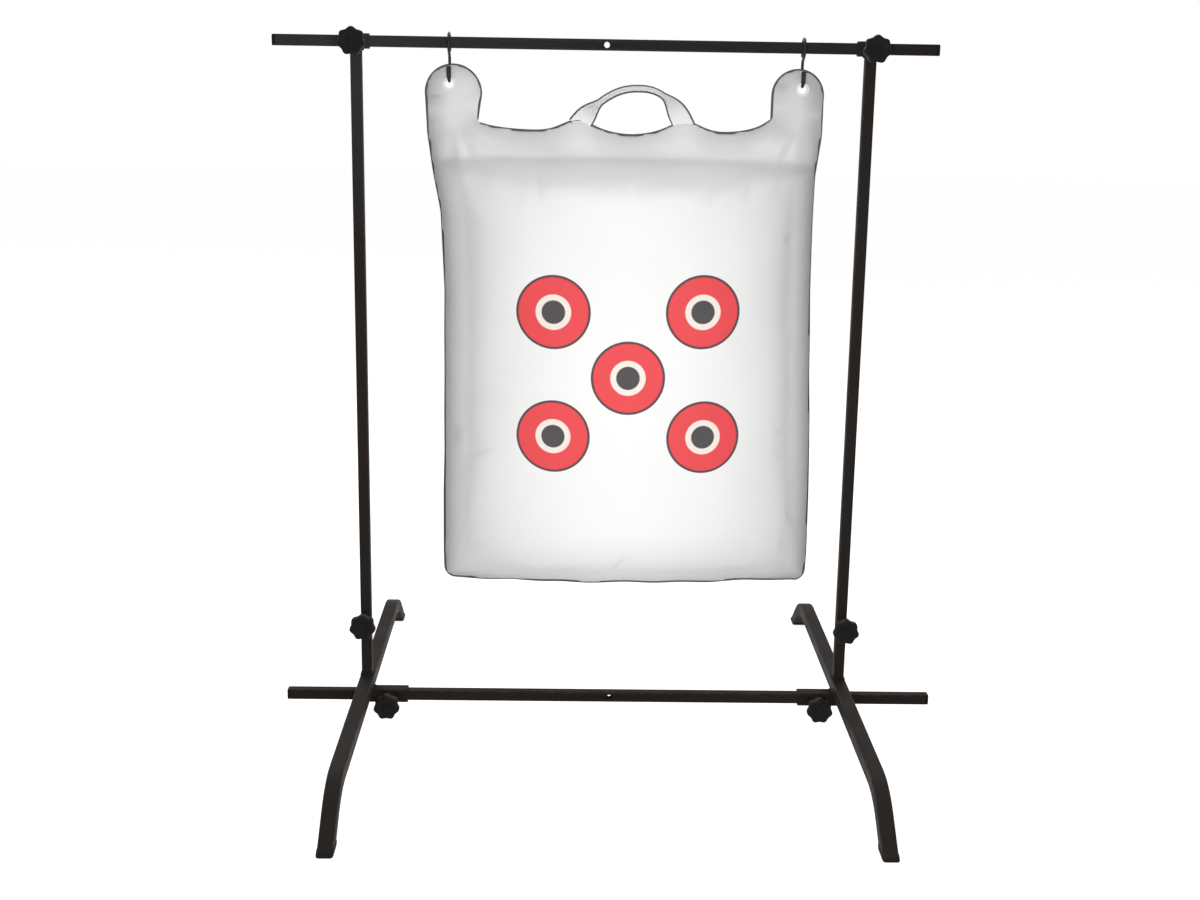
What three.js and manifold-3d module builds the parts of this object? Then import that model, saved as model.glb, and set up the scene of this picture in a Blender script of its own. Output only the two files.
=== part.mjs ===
// Free-standing steel stand for a hanging archery bag target.
// Two bent feet carry short posts; uprights plug into the posts; two square bars slide through
// sleeves on the feet and on the uprights, and hand knobs clamp every sliding fit.
// Units are millimetres, +Z is up, the archer stands on the -Y side.
// The origin lies on the floor under the middle of the bottom bar.

import * as THREE from 'three';
import { mergeVertices } from 'three/addons/utils/BufferGeometryUtils.js';
import Module from 'manifold-3d';

const wasm = await Module();
wasm.setup();

// Light square tube of the uprights, posts and bars
const tubeSize = 19.05;
const tubeWall = 1.5;
const tubeCorner = 2.4;

// Square tube of the feet
const footSize = 25.4;
const footWall = 1.6;
const footCorner = 3;

// Heavy square tube of the sleeves that the bars slide through
const sleeveWall = 2.6;
const sleeveGap = 0.575;
const sleeveCorner = 3;
const baseSleeveLength = 87;
const topSleeveLength = 44;

// Gap left between pieces that touch
const seatGap = 0.3;

// Overall layout
const footSpacing = 869;
const topBarHeight = 1214;
const topBarLength = 1125;
const topBarShift = -12;
const bottomBarLength = 1185;
const bottomBarShift = 11;
const barHoleRadius = 5;

// Bent feet: a flat run, a bend at each end, and legs that slope down to the floor
const footAxisHeight = 69;
const footFlatHalf = 398;
const footBendRadius = 150;
const footBendAngle = THREE.MathUtils.degToRad(37);
const footBendSteps = 5;

// Plastic pads in the foot ends and plugs in the bar ends
const padThickness = 5;
const padPlugLength = 14;
const capThickness = 5;
const capPlugLength = 16;
const capRound = 1.6;
const plugGap = 0.4;

// Posts and the spigots in the lower ends of the uprights
const postKnobHeight = 194;
const postAboveKnob = 14;
const spigotShortfall = 8;
const spigotGrip = 45;
const spigotGap = 0.35;
const spigotWall = 1.4;
const spigotLead = 3;
const spigotLeadStep = 0.7;

// Clamping knobs: weld nut, stud and lobed grip
const studRadius = 4;
const studHoleGap = 0.5;
const studChamfer = 1;
const nutAcross = 13;
const nutThickness = 8;
const nutBoreGap = 0.4;
const knobFootGap = 5.8;
const knobStandOff = 17;
const knobRadius = 22.5;
const knobLobes = 7;
const knobLobeDepth = 4;
const knobHubRadius = 10;
const knobHubLength = 15;
const knobHeadThickness = 18;
const knobEdgeRound = 3.5;
const knobCrown = 1.5;
const studEmbed = 14;

// Wire S-hooks
const hookWireRadius = 2.5;
const hookUnderAngle = THREE.MathUtils.degToRad(60);
const hookSpineBend = 8;
const hookShank = 26;
const hookBackTail = 16;
const hookEyeInside = 7.5;
const hookEyeTail = 11;

// Stuffed bag, hung a little to the right of the frame's middle and leaning that way
const bagWidth = 644;
const bagHeight = 803;
const bagDepth = 280;
const bagHangX = 21.5;
const bagLean = 15;
const bagEdgeThickness = 5;
const bagHeaderDepth = 60;
const bagShoulderDepth = 95;
const bagBottomRound = 130;
const bagSag = 7;
const bagCrestHeight = 19;
const bagCrestSpread = 34;
const hookInset = 22.5;
const earThickness = 4;
const earWidth = 90;
const earLength = 109;
const earAboveEyelet = 32;
const earNeck = 9;
const earOffset = 6;
const earRootDepth = 105;
const earRootInset = 32;

// Moulded eyelets in the ears
const eyeletHoleRadius = 7.5;
const eyeletBarrelWall = 1.6;
const eyeletRim = 4.5;
const eyeletFlangeThickness = 1;
const eyeletMouthRound = 1;

// Webbing carry handle sewn into the top seam
const handleSpan = 184;
const handleShift = 10;
const handleRise = 66;
const handleSeam = 10;
const handleWidth = 34;
const handleThickness = 4;
const handleGripThickness = 6.5;
const handleSteps = 24;

// Facet counts
const cornerSteps = 3;
const boreSides = 24;
const knobPointsPerLobe = 5;
const wireSides = 8;

// Materials
const blackPaint = new THREE.MeshStandardMaterial({ color: 0x2c2b2c, roughness: 0.45, metalness: 0.3 });
const blackPlastic = new THREE.MeshStandardMaterial({ color: 0x1c1c1e, roughness: 0.6, metalness: 0 });
const darkZinc = new THREE.MeshStandardMaterial({ color: 0x3a3938, roughness: 0.4, metalness: 0.8 });
const hookWire = new THREE.MeshStandardMaterial({ color: 0x1b1a1a, roughness: 0.4, metalness: 0.5 });
const bagCloth = new THREE.MeshStandardMaterial({ color: 0xe9e9e9, roughness: 0.85, metalness: 0 });
const bagWebbing = new THREE.MeshStandardMaterial({ color: 0xe2e2e2, roughness: 0.9, metalness: 0 });
const eyeletPlastic = new THREE.MeshStandardMaterial({ color: 0xd4d4d2, roughness: 0.5, metalness: 0 });

// The sleeves fit round the bars
const sleeveSize = tubeSize + 2 * (sleeveGap + sleeveWall);

const stand = new THREE.Group();
stand.position.x = -bottomBarShift;

function addPiece(name, geometry, material, x, y, z) {
  const mesh = new THREE.Mesh(geometry, material);
  mesh.name = name;
  mesh.position.set(x, y, z);
  stand.add(mesh);
  return mesh;
}

// Manifold solid of a closed geometry, and back again
function toSolid(geometry) {
  const bare = new THREE.BufferGeometry();
  bare.setAttribute('position', geometry.getAttribute('position').clone());
  if (geometry.index) bare.setIndex(geometry.index.clone());
  const merged = mergeVertices(bare);
  const vertProperties = new Float32Array(merged.getAttribute('position').array);
  const triVerts = new Uint32Array(merged.index.array);
  return new wasm.Manifold(new wasm.Mesh({ numProp: 3, vertProperties, triVerts }));
}

function toGeometry(solid) {
  const { vertProperties, triVerts, numProp } = solid.getMesh();
  const count = vertProperties.length / numProp;
  const positions = new Float32Array(count * 3);
  for (let i = 0; i < count; i += 1) {
    positions.set(vertProperties.subarray(i * numProp, i * numProp + 3), i * 3);
  }
  const geometry = new THREE.BufferGeometry();
  geometry.setAttribute('position', new THREE.BufferAttribute(positions, 3));
  geometry.setIndex(new THREE.BufferAttribute(new Uint32Array(triVerts), 1));
  geometry.computeVertexNormals();
  return geometry;
}

// Closed geometry from vertices and triangles, turned so that its faces point out
function closedGeometry(points, triangles) {
  const cross = new THREE.Vector3();
  let volume = 0;
  for (const [a, b, c] of triangles) {
    volume += cross.crossVectors(points[b], points[c]).dot(points[a]);
  }
  const outward = volume > 0 ? triangles : triangles.map(([a, b, c]) => [a, c, b]);
  const geometry = new THREE.BufferGeometry().setFromPoints(points);
  geometry.setIndex(outward.flat());
  geometry.computeVertexNormals();
  return geometry;
}

// Skin over rings of equal point count. An open run of rings gets a fan over each end ring;
// a looped run joins its last ring to its first, as the wall of a tube does.
function loft(rings, looped = false) {
  const count = rings[0].length;
  const points = rings.flat();
  const triangles = [];
  const spans = looped ? rings.length : rings.length - 1;
  for (let i = 0; i < spans; i += 1) {
    const near = i * count;
    const far = ((i + 1) % rings.length) * count;
    for (let j = 0; j < count; j += 1) {
      const k = (j + 1) % count;
      triangles.push([near + j, near + k, far + k], [near + j, far + k, far + j]);
    }
  }
  if (!looped) {
    for (const ring of [0, rings.length - 1]) {
      const centre = new THREE.Vector3();
      for (const point of rings[ring]) centre.addScaledVector(point, 1 / count);
      const hub = points.push(centre) - 1;
      for (let j = 0; j < count; j += 1) {
        const a = ring * count + j;
        const b = ring * count + ((j + 1) % count);
        triangles.push(ring === 0 ? [hub, b, a] : [hub, a, b]);
      }
    }
  }
  return closedGeometry(points, triangles);
}

// Outline of a square with rounded corners, counter-clockwise
function squareOutline(size, corner) {
  const points = [];
  const reach = size / 2 - corner;
  for (let quarter = 0; quarter < 4; quarter += 1) {
    const start = quarter * Math.PI / 2;
    const middle = start + Math.PI / 4;
    const centre = new THREE.Vector2(Math.cos(middle), Math.sin(middle)).multiplyScalar(reach * Math.SQRT2);
    for (let step = 0; step <= cornerSteps; step += 1) {
      const angle = start + step / cornerSteps * Math.PI / 2;
      points.push(new THREE.Vector2(Math.cos(angle), Math.sin(angle)).multiplyScalar(corner).add(centre));
    }
  }
  return points;
}

function innerCorner(corner, wall) {
  return Math.max(corner - wall, wall / 4);
}

// Straight square tube along Z, centred on the origin
function squareTube(length, size, wall, corner) {
  const shape = new THREE.Shape(squareOutline(size, corner));
  shape.holes.push(new THREE.Path(squareOutline(size - 2 * wall, innerCorner(corner, wall))));
  const geometry = new THREE.ExtrudeGeometry(shape, { depth: length, bevelEnabled: false });
  return geometry.translate(0, 0, -length / 2);
}

// Cylinder along Y for stud holes and bar holes
function crossDrill(radius, length, x, y, z) {
  const drill = new THREE.CylinderGeometry(radius, radius, length, boreSides);
  return toSolid(drill.translate(x, y, z));
}

function horizontalRing(outline, z) {
  return outline.map((p) => new THREE.Vector3(p.x, p.y, z));
}

// Square plug for a tube end, along +Z: a domed head, then the body that sits in the tube
function tubePlug(size, corner, wall, headThickness, bodyLength) {
  const bodySize = size - 2 * wall - 2 * plugGap;
  const rings = [
    horizontalRing(squareOutline(size - 2 * capRound, corner), -headThickness),
    horizontalRing(squareOutline(size - capRound / 2, corner), capRound / 2 - headThickness),
    horizontalRing(squareOutline(size, corner), capRound - headThickness),
    horizontalRing(squareOutline(size, corner), 0),
    horizontalRing(squareOutline(bodySize, innerCorner(corner, wall)), 0),
    horizontalRing(squareOutline(bodySize, innerCorner(corner, wall)), bodyLength),
  ];
  return loft(rings);
}

// Bars: a tube with a bolt hole through its middle and a plug in each end
function addBar(name, length, centreX, height) {
  const tubeLength = length - 2 * (capThickness + seatGap);
  const tube = toSolid(squareTube(tubeLength, tubeSize, tubeWall, tubeCorner).rotateY(Math.PI / 2));
  const bar = toGeometry(tube.subtract(crossDrill(barHoleRadius, 2 * tubeSize, 0, 0, 0)));
  addPiece(name, bar, blackPaint, centreX, 0, height);
  for (const [side, word] of [[-1, 'left'], [1, 'right']]) {
    const plug = tubePlug(tubeSize, tubeCorner, tubeWall, capThickness, capPlugLength);
    plug.rotateY(-side * Math.PI / 2);
    const plugX = centreX + side * (length / 2 - capThickness);
    addPiece(`${name}_cap_${word}`, plug, blackPlastic, plugX, 0, height);
  }
}

const baseSleeveHeight = footAxisHeight - footSize / 2 - sleeveSize / 2 - seatGap;
addBar('bottom_bar', bottomBarLength, bottomBarShift, baseSleeveHeight);
addBar('top_bar', topBarLength, topBarShift, topBarHeight);

// Section of a foot at a place on its path, where the path runs along (cos, sin) in the YZ plane
function footRing(outline, centre, angle) {
  const normal = new THREE.Vector3(0, -Math.sin(angle), Math.cos(angle));
  return outline.map((p) => centre.clone().addScaledVector(normal, p.x).setX(p.y));
}

function bendCentre(side, angle) {
  const y = footFlatHalf + footBendRadius * Math.sin(angle);
  return new THREE.Vector3(0, side * y, footAxisHeight - footBendRadius * (1 - Math.cos(angle)));
}

// Section of the sloping leg where a level plane cuts it
function legRing(outline, side, level) {
  const slope = side > 0 ? -footBendAngle : footBendAngle;
  const along = new THREE.Vector3(0, Math.cos(slope), Math.sin(slope));
  const ring = footRing(outline, bendCentre(side, footBendAngle), slope);
  return ring.map((p) => p.addScaledVector(along, (level - p.z) / along.z));
}

function footRings(outline) {
  const rings = [legRing(outline, -1, padThickness + seatGap)];
  for (let step = footBendSteps; step >= 0; step -= 1) {
    const angle = footBendAngle * step / footBendSteps;
    rings.push(footRing(outline, bendCentre(-1, angle), angle));
  }
  for (let step = 0; step <= footBendSteps; step += 1) {
    const angle = footBendAngle * step / footBendSteps;
    rings.push(footRing(outline, bendCentre(1, angle), -angle));
  }
  rings.push(legRing(outline, 1, padThickness + seatGap));
  return rings;
}

function footGeometry() {
  const outer = footRings(squareOutline(footSize, footCorner));
  const bore = squareOutline(footSize - 2 * footWall, innerCorner(footCorner, footWall));
  return loft([...outer, ...footRings(bore).reverse()], true);
}

// Pad under a leg: a level sole and a plug that follows the leg
function padGeometry(side) {
  const sole = squareOutline(footSize, footCorner);
  const plug = squareOutline(footSize - 2 * footWall - 2 * plugGap, innerCorner(footCorner, footWall));
  return loft([
    legRing(sole, side, 0),
    legRing(sole, side, padThickness),
    legRing(plug, side, padThickness),
    legRing(plug, side, padThickness + padPlugLength),
  ]);
}

// Hexagonal weld nut, its back face at y = 0 and its bore along Y
function weldNut() {
  const hexagon = new THREE.Shape();
  for (let k = 0; k < 6; k += 1) {
    const angle = k * Math.PI / 3;
    const radius = nutAcross / Math.sqrt(3);
    if (k === 0) hexagon.moveTo(radius, 0);
    else hexagon.lineTo(radius * Math.cos(angle), radius * Math.sin(angle));
  }
  hexagon.closePath();
  const bore = new THREE.Path();
  bore.absarc(0, 0, studRadius + nutBoreGap, 0, 2 * Math.PI, true);
  hexagon.holes.push(bore);
  const settings = { depth: nutThickness, bevelEnabled: false, curveSegments: boreSides / 2 };
  return new THREE.ExtrudeGeometry(hexagon, settings).rotateX(Math.PI / 2);
}

// Stud of a knob along -Y from its tip at the origin
function studGeometry(length) {
  const profile = [
    new THREE.Vector2(0, 0),
    new THREE.Vector2(studRadius - studChamfer, 0),
    new THREE.Vector2(studRadius, studChamfer),
    new THREE.Vector2(studRadius, length),
    new THREE.Vector2(0, length),
  ];
  return new THREE.LatheGeometry(profile, boreSides / 2).rotateX(Math.PI);
}

// Lobed outline of the grip; depth 0 is a plain circle
function knobRing(radius, lobeDepth, y) {
  const count = knobLobes * knobPointsPerLobe;
  const ring = [];
  for (let k = 0; k < count; k += 1) {
    const angle = 2 * Math.PI * k / count;
    const reach = radius - lobeDepth * (1 - Math.cos(knobLobes * angle)) / 2;
    ring.push(new THREE.Vector3(reach * Math.sin(angle), y, reach * Math.cos(angle)));
  }
  return ring;
}

// Grip of a knob: a blind bore for the stud, a round hub and a lobed head, back face at y = 0
function gripGeometry() {
  const bore = studRadius + seatGap;
  const boreEnd = studEmbed + seatGap;
  const headEnd = knobHubLength + knobHeadThickness;
  return loft([
    knobRing(bore, 0, -boreEnd),
    knobRing(bore, 0, 0),
    knobRing(knobHubRadius, 0, 0),
    knobRing(knobHubRadius, 0, -knobHubLength + knobEdgeRound),
    knobRing(knobRadius - knobEdgeRound, knobLobeDepth, -knobHubLength),
    knobRing(knobRadius, knobLobeDepth, -knobHubLength - knobEdgeRound),
    knobRing(knobRadius, knobLobeDepth, -headEnd + knobEdgeRound),
    knobRing(knobRadius - knobEdgeRound, knobLobeDepth / 2, -headEnd),
    knobRing(knobHubRadius / 2, 0, -headEnd - knobCrown),
  ]);
}

// A clamp on the front wall of a tube or sleeve: weld nut, stud and grip.
// wallFront is how far the wall's outside lies from the axis, gripped how far the inner piece's does.
function addClamp(place, x, z, wallFront, gripped) {
  const tip = gripped + seatGap;
  const hubBack = wallFront + seatGap + nutThickness + knobStandOff;
  addPiece(`weld_nut_${place}`, weldNut(), darkZinc, x, -wallFront - seatGap, z);
  addPiece(`knob_stud_${place}`, studGeometry(hubBack + studEmbed - tip), darkZinc, x, -tip, z);
  addPiece(`knob_grip_${place}`, gripGeometry(), blackPlastic, x, -hubBack, z);
}

// Spigot: a tube welded in the upright's lower end that slides in the post, drawn in at its tip.
// z = 0 is where the upright's end stands on the post.
function spigotGeometry(reach) {
  const ring = (size, corner, z) => horizontalRing(squareOutline(size, corner), z);
  const size = tubeSize - 2 * tubeWall - 2 * spigotGap;
  const corner = innerCorner(tubeCorner, tubeWall);
  const boreSize = size - 2 * spigotWall;
  const boreCorner = innerCorner(corner, spigotWall);
  const outer = [
    ring(size - 2 * spigotLeadStep, corner, -reach),
    ring(size, corner, spigotLead - reach),
    ring(size, corner, spigotGrip),
  ];
  return loft([...outer, ring(boreSize, boreCorner, spigotGrip), ring(boreSize, boreCorner, -reach)], true);
}

// Sleeve along X with a stud hole through its front wall
function sleeveGeometry(length, holeX) {
  const sleeve = toSolid(squareTube(length, sleeveSize, sleeveWall, sleeveCorner).rotateY(Math.PI / 2));
  const drill = crossDrill(studRadius + studHoleGap, sleeveSize / 2, holeX, -sleeveSize / 2, 0);
  return toGeometry(sleeve.subtract(drill));
}

// Feet, posts, uprights and their sleeves, once for each side
const postBottom = footAxisHeight + footSize / 2 + seatGap;
const postTop = postKnobHeight + postAboveKnob;
const spigotFace = tubeSize / 2 - tubeWall - spigotGap;
for (const [side, word] of [[-1, 'left'], [1, 'right']]) {
  const footX = side * footSpacing / 2;
  addPiece(`foot_${word}`, footGeometry(), blackPaint, footX, 0, 0);
  addPiece(`foot_pad_front_${word}`, padGeometry(-1), blackPlastic, footX, 0, 0);
  addPiece(`foot_pad_rear_${word}`, padGeometry(1), blackPlastic, footX, 0, 0);

  const sleeveX = footX + side * (footSize - baseSleeveLength) / 2;
  const baseKnobX = footX - side * (footSize / 2 + knobFootGap + knobRadius);
  const baseSleeve = sleeveGeometry(baseSleeveLength, baseKnobX - sleeveX);
  addPiece(`base_sleeve_${word}`, baseSleeve, blackPaint, sleeveX, 0, baseSleeveHeight);
  addClamp(`base_${word}`, baseKnobX, baseSleeveHeight, sleeveSize / 2, tubeSize / 2);

  const postLength = postTop - postBottom;
  const postMiddle = (postTop + postBottom) / 2;
  const post = toSolid(squareTube(postLength, tubeSize, tubeWall, tubeCorner));
  const holeZ = postKnobHeight - postMiddle;
  const postDrill = crossDrill(studRadius + studHoleGap, tubeSize / 2, 0, -tubeSize / 2, holeZ);
  addPiece(`post_${word}`, toGeometry(post.subtract(postDrill)), blackPaint, footX, 0, postMiddle);
  addClamp(`post_${word}`, footX, postKnobHeight, tubeSize / 2, spigotFace);

  const shoulder = postTop + seatGap;
  const uprightLength = topBarHeight - sleeveSize / 2 - seatGap - shoulder;
  const upright = squareTube(uprightLength, tubeSize, tubeWall, tubeCorner);
  addPiece(`upright_${word}`, upright, blackPaint, footX, 0, shoulder + uprightLength / 2);
  addPiece(`spigot_${word}`, spigotGeometry(postLength - spigotShortfall), blackPaint, footX, 0, shoulder);
  addPiece(`top_sleeve_${word}`, sleeveGeometry(topSleeveLength, 0), blackPaint, footX, 0, topBarHeight);
  addClamp(`top_${word}`, footX, topBarHeight, sleeveSize / 2, tubeSize / 2);
}

// S-hook in the YZ plane, its origin on the bar's axis. The round top loop clears the bar's corners
// and ends past the level by the under angle; the spine runs straight on from there, crosses under
// the bar, bends down behind the ear, and the lower loop opens to the front.
const barCornerReach = (tubeSize / 2 - tubeCorner) * Math.SQRT2 + tubeCorner;
const hookBarRadius = barCornerReach + seatGap + hookWireRadius;
const hookEyeRadius = hookEyeInside + hookWireRadius;
const spineStartY = -hookBarRadius * Math.cos(hookUnderAngle);
const spineEndY = hookEyeRadius - hookSpineBend * (1 - Math.cos(hookUnderAngle));
const spineDrop = (spineEndY - spineStartY) / Math.tan(hookUnderAngle);
const hookBendDrop = (hookBarRadius + hookSpineBend) * Math.sin(hookUnderAngle) + spineDrop;
const hookEyeDrop = hookBendDrop + hookShank;
const hookLeftX = bagHangX - bagWidth / 2 + hookInset;
const hookRightX = bagHangX + bagWidth / 2 - hookInset;

function hookPath() {
  const places = [];
  const arc = (y, z, radius, from, to, steps) => {
    for (let k = 0; k <= steps; k += 1) {
      const angle = from + (to - from) * k / steps;
      places.push(new THREE.Vector2(y + radius * Math.cos(angle), z + radius * Math.sin(angle)));
    }
  };
  places.push(new THREE.Vector2(hookBarRadius, -hookBackTail));
  arc(0, 0, hookBarRadius, 0, Math.PI + hookUnderAngle, 14);
  arc(hookEyeRadius - hookSpineBend, -hookBendDrop, hookSpineBend, hookUnderAngle, 0, 4);
  arc(0, -hookEyeDrop, hookEyeRadius, 0, -Math.PI, 10);
  places.push(new THREE.Vector2(-hookEyeRadius, hookEyeTail - hookEyeDrop));
  return places;
}

function hookGeometry() {
  const path = hookPath();
  const rings = path.map((place, index) => {
    const before = path[Math.max(index - 1, 0)];
    const after = path[Math.min(index + 1, path.length - 1)];
    const along = after.clone().sub(before).normalize();
    const normal = new THREE.Vector3(0, -along.y, along.x);
    const ring = [];
    for (let k = 0; k < wireSides; k += 1) {
      const angle = 2 * Math.PI * (k + 1 / 2) / wireSides;
      const point = new THREE.Vector3(hookWireRadius * Math.sin(angle), place.x, place.y);
      ring.push(point.addScaledVector(normal, hookWireRadius * Math.cos(angle)));
    }
    return ring;
  });
  return loft(rings);
}

addPiece('s_hook_left', hookGeometry(), hookWire, hookLeftX, 0, topBarHeight);
addPiece('s_hook_right', hookGeometry(), hookWire, hookRightX, 0, topBarHeight);

// Eyelet: two flanges and a barrel around the hole. Its hole rests on the inside of the hook's loop.
const earHalf = earThickness / 2;
const flangeInside = earHalf + seatGap;
const flangeOutside = flangeInside + eyeletFlangeThickness;
const throatHalf = flangeOutside - eyeletMouthRound;
const loopInside = hookEyeInside - seatGap;
const loopHeight = topBarHeight - hookEyeDrop;
const eyeletHeight = loopHeight - Math.sqrt(loopInside ** 2 - throatHalf ** 2) - eyeletHoleRadius;
const eyeletBarrelRadius = eyeletHoleRadius + eyeletBarrelWall;
const eyeletFlangeRadius = eyeletHoleRadius + eyeletRim;

function eyeletGeometry() {
  const half = [
    [eyeletHoleRadius, throatHalf],
    [eyeletHoleRadius + eyeletMouthRound, flangeOutside],
    [eyeletFlangeRadius, flangeOutside],
    [eyeletFlangeRadius, flangeInside],
    [eyeletBarrelRadius, flangeInside],
  ];
  const profile = half.map(([r, y]) => new THREE.Vector2(r, y));
  profile.push(...half.reverse().map(([r, y]) => new THREE.Vector2(r, -y)));
  const rings = [];
  for (let k = 0; k < boreSides; k += 1) {
    const angle = 2 * Math.PI * k / boreSides;
    rings.push(profile.map((p) => new THREE.Vector3(p.x * Math.cos(angle), p.y, p.x * Math.sin(angle))));
  }
  return loft(rings, true);
}

addPiece('eyelet_left', eyeletGeometry(), eyeletPlastic, hookLeftX, 0, eyeletHeight);
addPiece('eyelet_right', eyeletGeometry(), eyeletPlastic, hookRightX, 0, eyeletHeight);

// Bag body: a pillow with a flat sewn header at its top, a round shoulder under the header, and a
// bottom that is rounded off and sags in the middle. Half widths are shares of half the bag's width
// at shares of its height, and at the top they reach the outer edges of the ears.
const earTop = eyeletHeight + earAboveEyelet;
const bagTop = earTop - earLength;
const bagBottom = bagTop - bagHeight;
const earReach = bagWidth / 2 - hookInset - earOffset + earWidth / 2;
const sideShares = [
  [0, 0.978], [0.02, 1.002], [0.05, 1.015], [0.2, 1.014],
  [0.4, 1.004], [0.66, 0.988], [0.83, 0.995], [0.92, 1.018],
];
const headerShare = 0.24;
const headerPower = 0.7;
const shoulderPower = 2.4;
const bottomPower = 1.7;
const bagColumns = 16;
const roundSteps = 5;

function halfWidthAt(share) {
  const table = [...sideShares.map(([at, wide]) => [at, wide * bagWidth / 2]), [1, earReach]];
  const next = Math.max(table.findIndex(([at]) => at >= share), 1);
  const [a, low] = table[next - 1];
  const [b, high] = table[next];
  return low + (high - low) * (share - a) / (b - a);
}

function clampShare(share) {
  return Math.min(Math.max(share, 0), 1);
}

// Rise of a rounded edge from 0 to 1 over its own depth
function roundedShare(share, power) {
  return (1 - (1 - clampShare(share)) ** power) ** (1 / power);
}

// Fullness at a depth below the top edge: a shallow wedge over the header, then the shoulder
function topFullShare(drop) {
  const header = headerShare * clampShare(drop / bagHeaderDepth) ** headerPower;
  const shoulder = roundedShare((drop - bagHeaderDepth) / bagShoulderDepth, shoulderPower);
  return header + (1 - headerShare) * shoulder;
}

// The top seam rises where the handle is sewn in and dips between
const handleX = bagHangX + handleShift;

function crestRise(x) {
  const bump = (centre) => Math.exp(-(((x - centre) / bagCrestSpread) ** 2));
  return bagCrestHeight * (bump(handleX - handleSpan / 2) + bump(handleX + handleSpan / 2));
}

// Heights of the rows above the bag's bottom, closer together where the surface turns
function bagRows() {
  const rows = [];
  const curve = (step) => 1 - Math.cos(Math.PI / 2 * step / roundSteps);
  for (let step = 0; step <= roundSteps; step += 1) rows.push(bagBottomRound * curve(step));
  const shoulderTop = bagHeight - bagHeaderDepth;
  const shoulderLow = shoulderTop - bagShoulderDepth;
  rows.push((2 * bagBottomRound + shoulderLow) / 3, (bagBottomRound + 2 * shoulderLow) / 3);
  for (let step = roundSteps; step >= 0; step -= 1) rows.push(shoulderTop - bagShoulderDepth * curve(step));
  rows.push(shoulderTop + bagHeaderDepth / 2, bagHeight);
  return rows;
}

function bagBody() {
  const sheets = [[], []];
  const heights = bagRows();
  for (const height of heights) {
    const halfWidth = halfWidthAt(height / bagHeight);
    const centre = bagHangX + bagLean * (1 - height / bagHeight);
    const fullShare = topFullShare(bagHeight - height) * roundedShare(height / bagBottomRound, bottomPower);
    const headerRise = clampShare((height - bagHeight + bagHeaderDepth) / bagHeaderDepth);
    const bottomRise = 1 - clampShare(height / bagBottomRound);
    for (let column = 0; column <= bagColumns; column += 1) {
      const angle = Math.PI * column / bagColumns;
      const x = centre - halfWidth * Math.cos(angle);
      const lift = crestRise(x) * headerRise + bagSag * Math.cos(angle) ** 2 * bottomRise;
      const thickness = bagEdgeThickness + (bagDepth - bagEdgeThickness) * Math.sin(angle) * fullShare;
      sheets[0].push(new THREE.Vector3(x, -thickness / 2, bagBottom + height + lift));
      sheets[1].push(new THREE.Vector3(x, thickness / 2, bagBottom + height + lift));
    }
  }
  const stride = bagColumns + 1;
  const spans = heights.length - 1;
  const total = sheets[0].length;
  const triangles = [];
  for (let row = 0; row < spans; row += 1) {
    for (let column = 0; column < bagColumns; column += 1) {
      const a = row * stride + column;
      const quad = [a, a + 1, a + 1 + stride, a + stride];
      triangles.push([quad[0], quad[1], quad[2]], [quad[0], quad[2], quad[3]]);
      const [p, q, r, s] = quad.map((index) => index + total);
      triangles.push([p, r, q], [p, s, r]);
    }
  }
  const border = [];
  for (let column = 0; column < bagColumns; column += 1) border.push(column);
  for (let row = 0; row < spans; row += 1) border.push(row * stride + bagColumns);
  for (let column = bagColumns; column > 0; column -= 1) border.push(spans * stride + column);
  for (let row = spans; row > 0; row -= 1) border.push(row * stride);
  border.forEach((a, index) => {
    const b = border[(index + 1) % border.length];
    triangles.push([a, a + total, b + total], [a, b + total, b]);
  });
  return toSolid(closedGeometry([...sheets[0], ...sheets[1]], triangles));
}

// Ear: a flat tab with a round head and a narrower neck, rooted in the bag's upper corner.
// Drawn for the right side, and turned over for the left.
function earTab(hookX, side) {
  const radius = earWidth / 2;
  const shoulder = earTop - radius;
  const root = bagTop - earRootDepth;
  const shape = new THREE.Shape();
  shape.moveTo(radius - earRootInset, root);
  shape.lineTo(radius, bagTop);
  shape.lineTo(radius, shoulder);
  shape.absarc(0, shoulder, radius, 0, Math.PI, false);
  shape.lineTo(earNeck - radius, bagTop);
  shape.lineTo(earNeck - radius, root);
  shape.closePath();
  const settings = { depth: earThickness, bevelEnabled: false, curveSegments: boreSides / 2 };
  const tab = new THREE.ExtrudeGeometry(shape, settings).translate(0, 0, -earHalf).rotateX(Math.PI / 2);
  if (side < 0) tab.rotateZ(Math.PI);
  return toSolid(tab.translate(hookX - side * earOffset, 0, 0));
}

function bagSolid() {
  let bag = bagBody();
  for (const [x, side] of [[hookLeftX, -1], [hookRightX, 1]]) {
    bag = bag.add(earTab(x, side));
    bag = bag.subtract(crossDrill(eyeletBarrelRadius + seatGap, bagDepth, x, 0, eyeletHeight));
  }
  return bag;
}

const bag = bagSolid();
addPiece('target_bag', toGeometry(bag), bagCloth, 0, 0, 0);

// Handle: a strap whose ends stand flat in the top seam and which turns edge-on over the grip.
// It rises as a power curve whose crown lies a little to the right of its middle.
const handlePower = 2.4;
const handleSkewShare = 0.13;
const handleTwistShare = 0.45;

function handleHeight(place) {
  const skewed = place - handleSkewShare * (1 - place ** 2);
  return bagTop + handleSeam + handleRise * (1 - Math.abs(skewed) ** handlePower);
}

function handlePlace(share) {
  return new THREE.Vector2(handleX + handleSpan / 2 * share, handleHeight(share));
}

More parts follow.
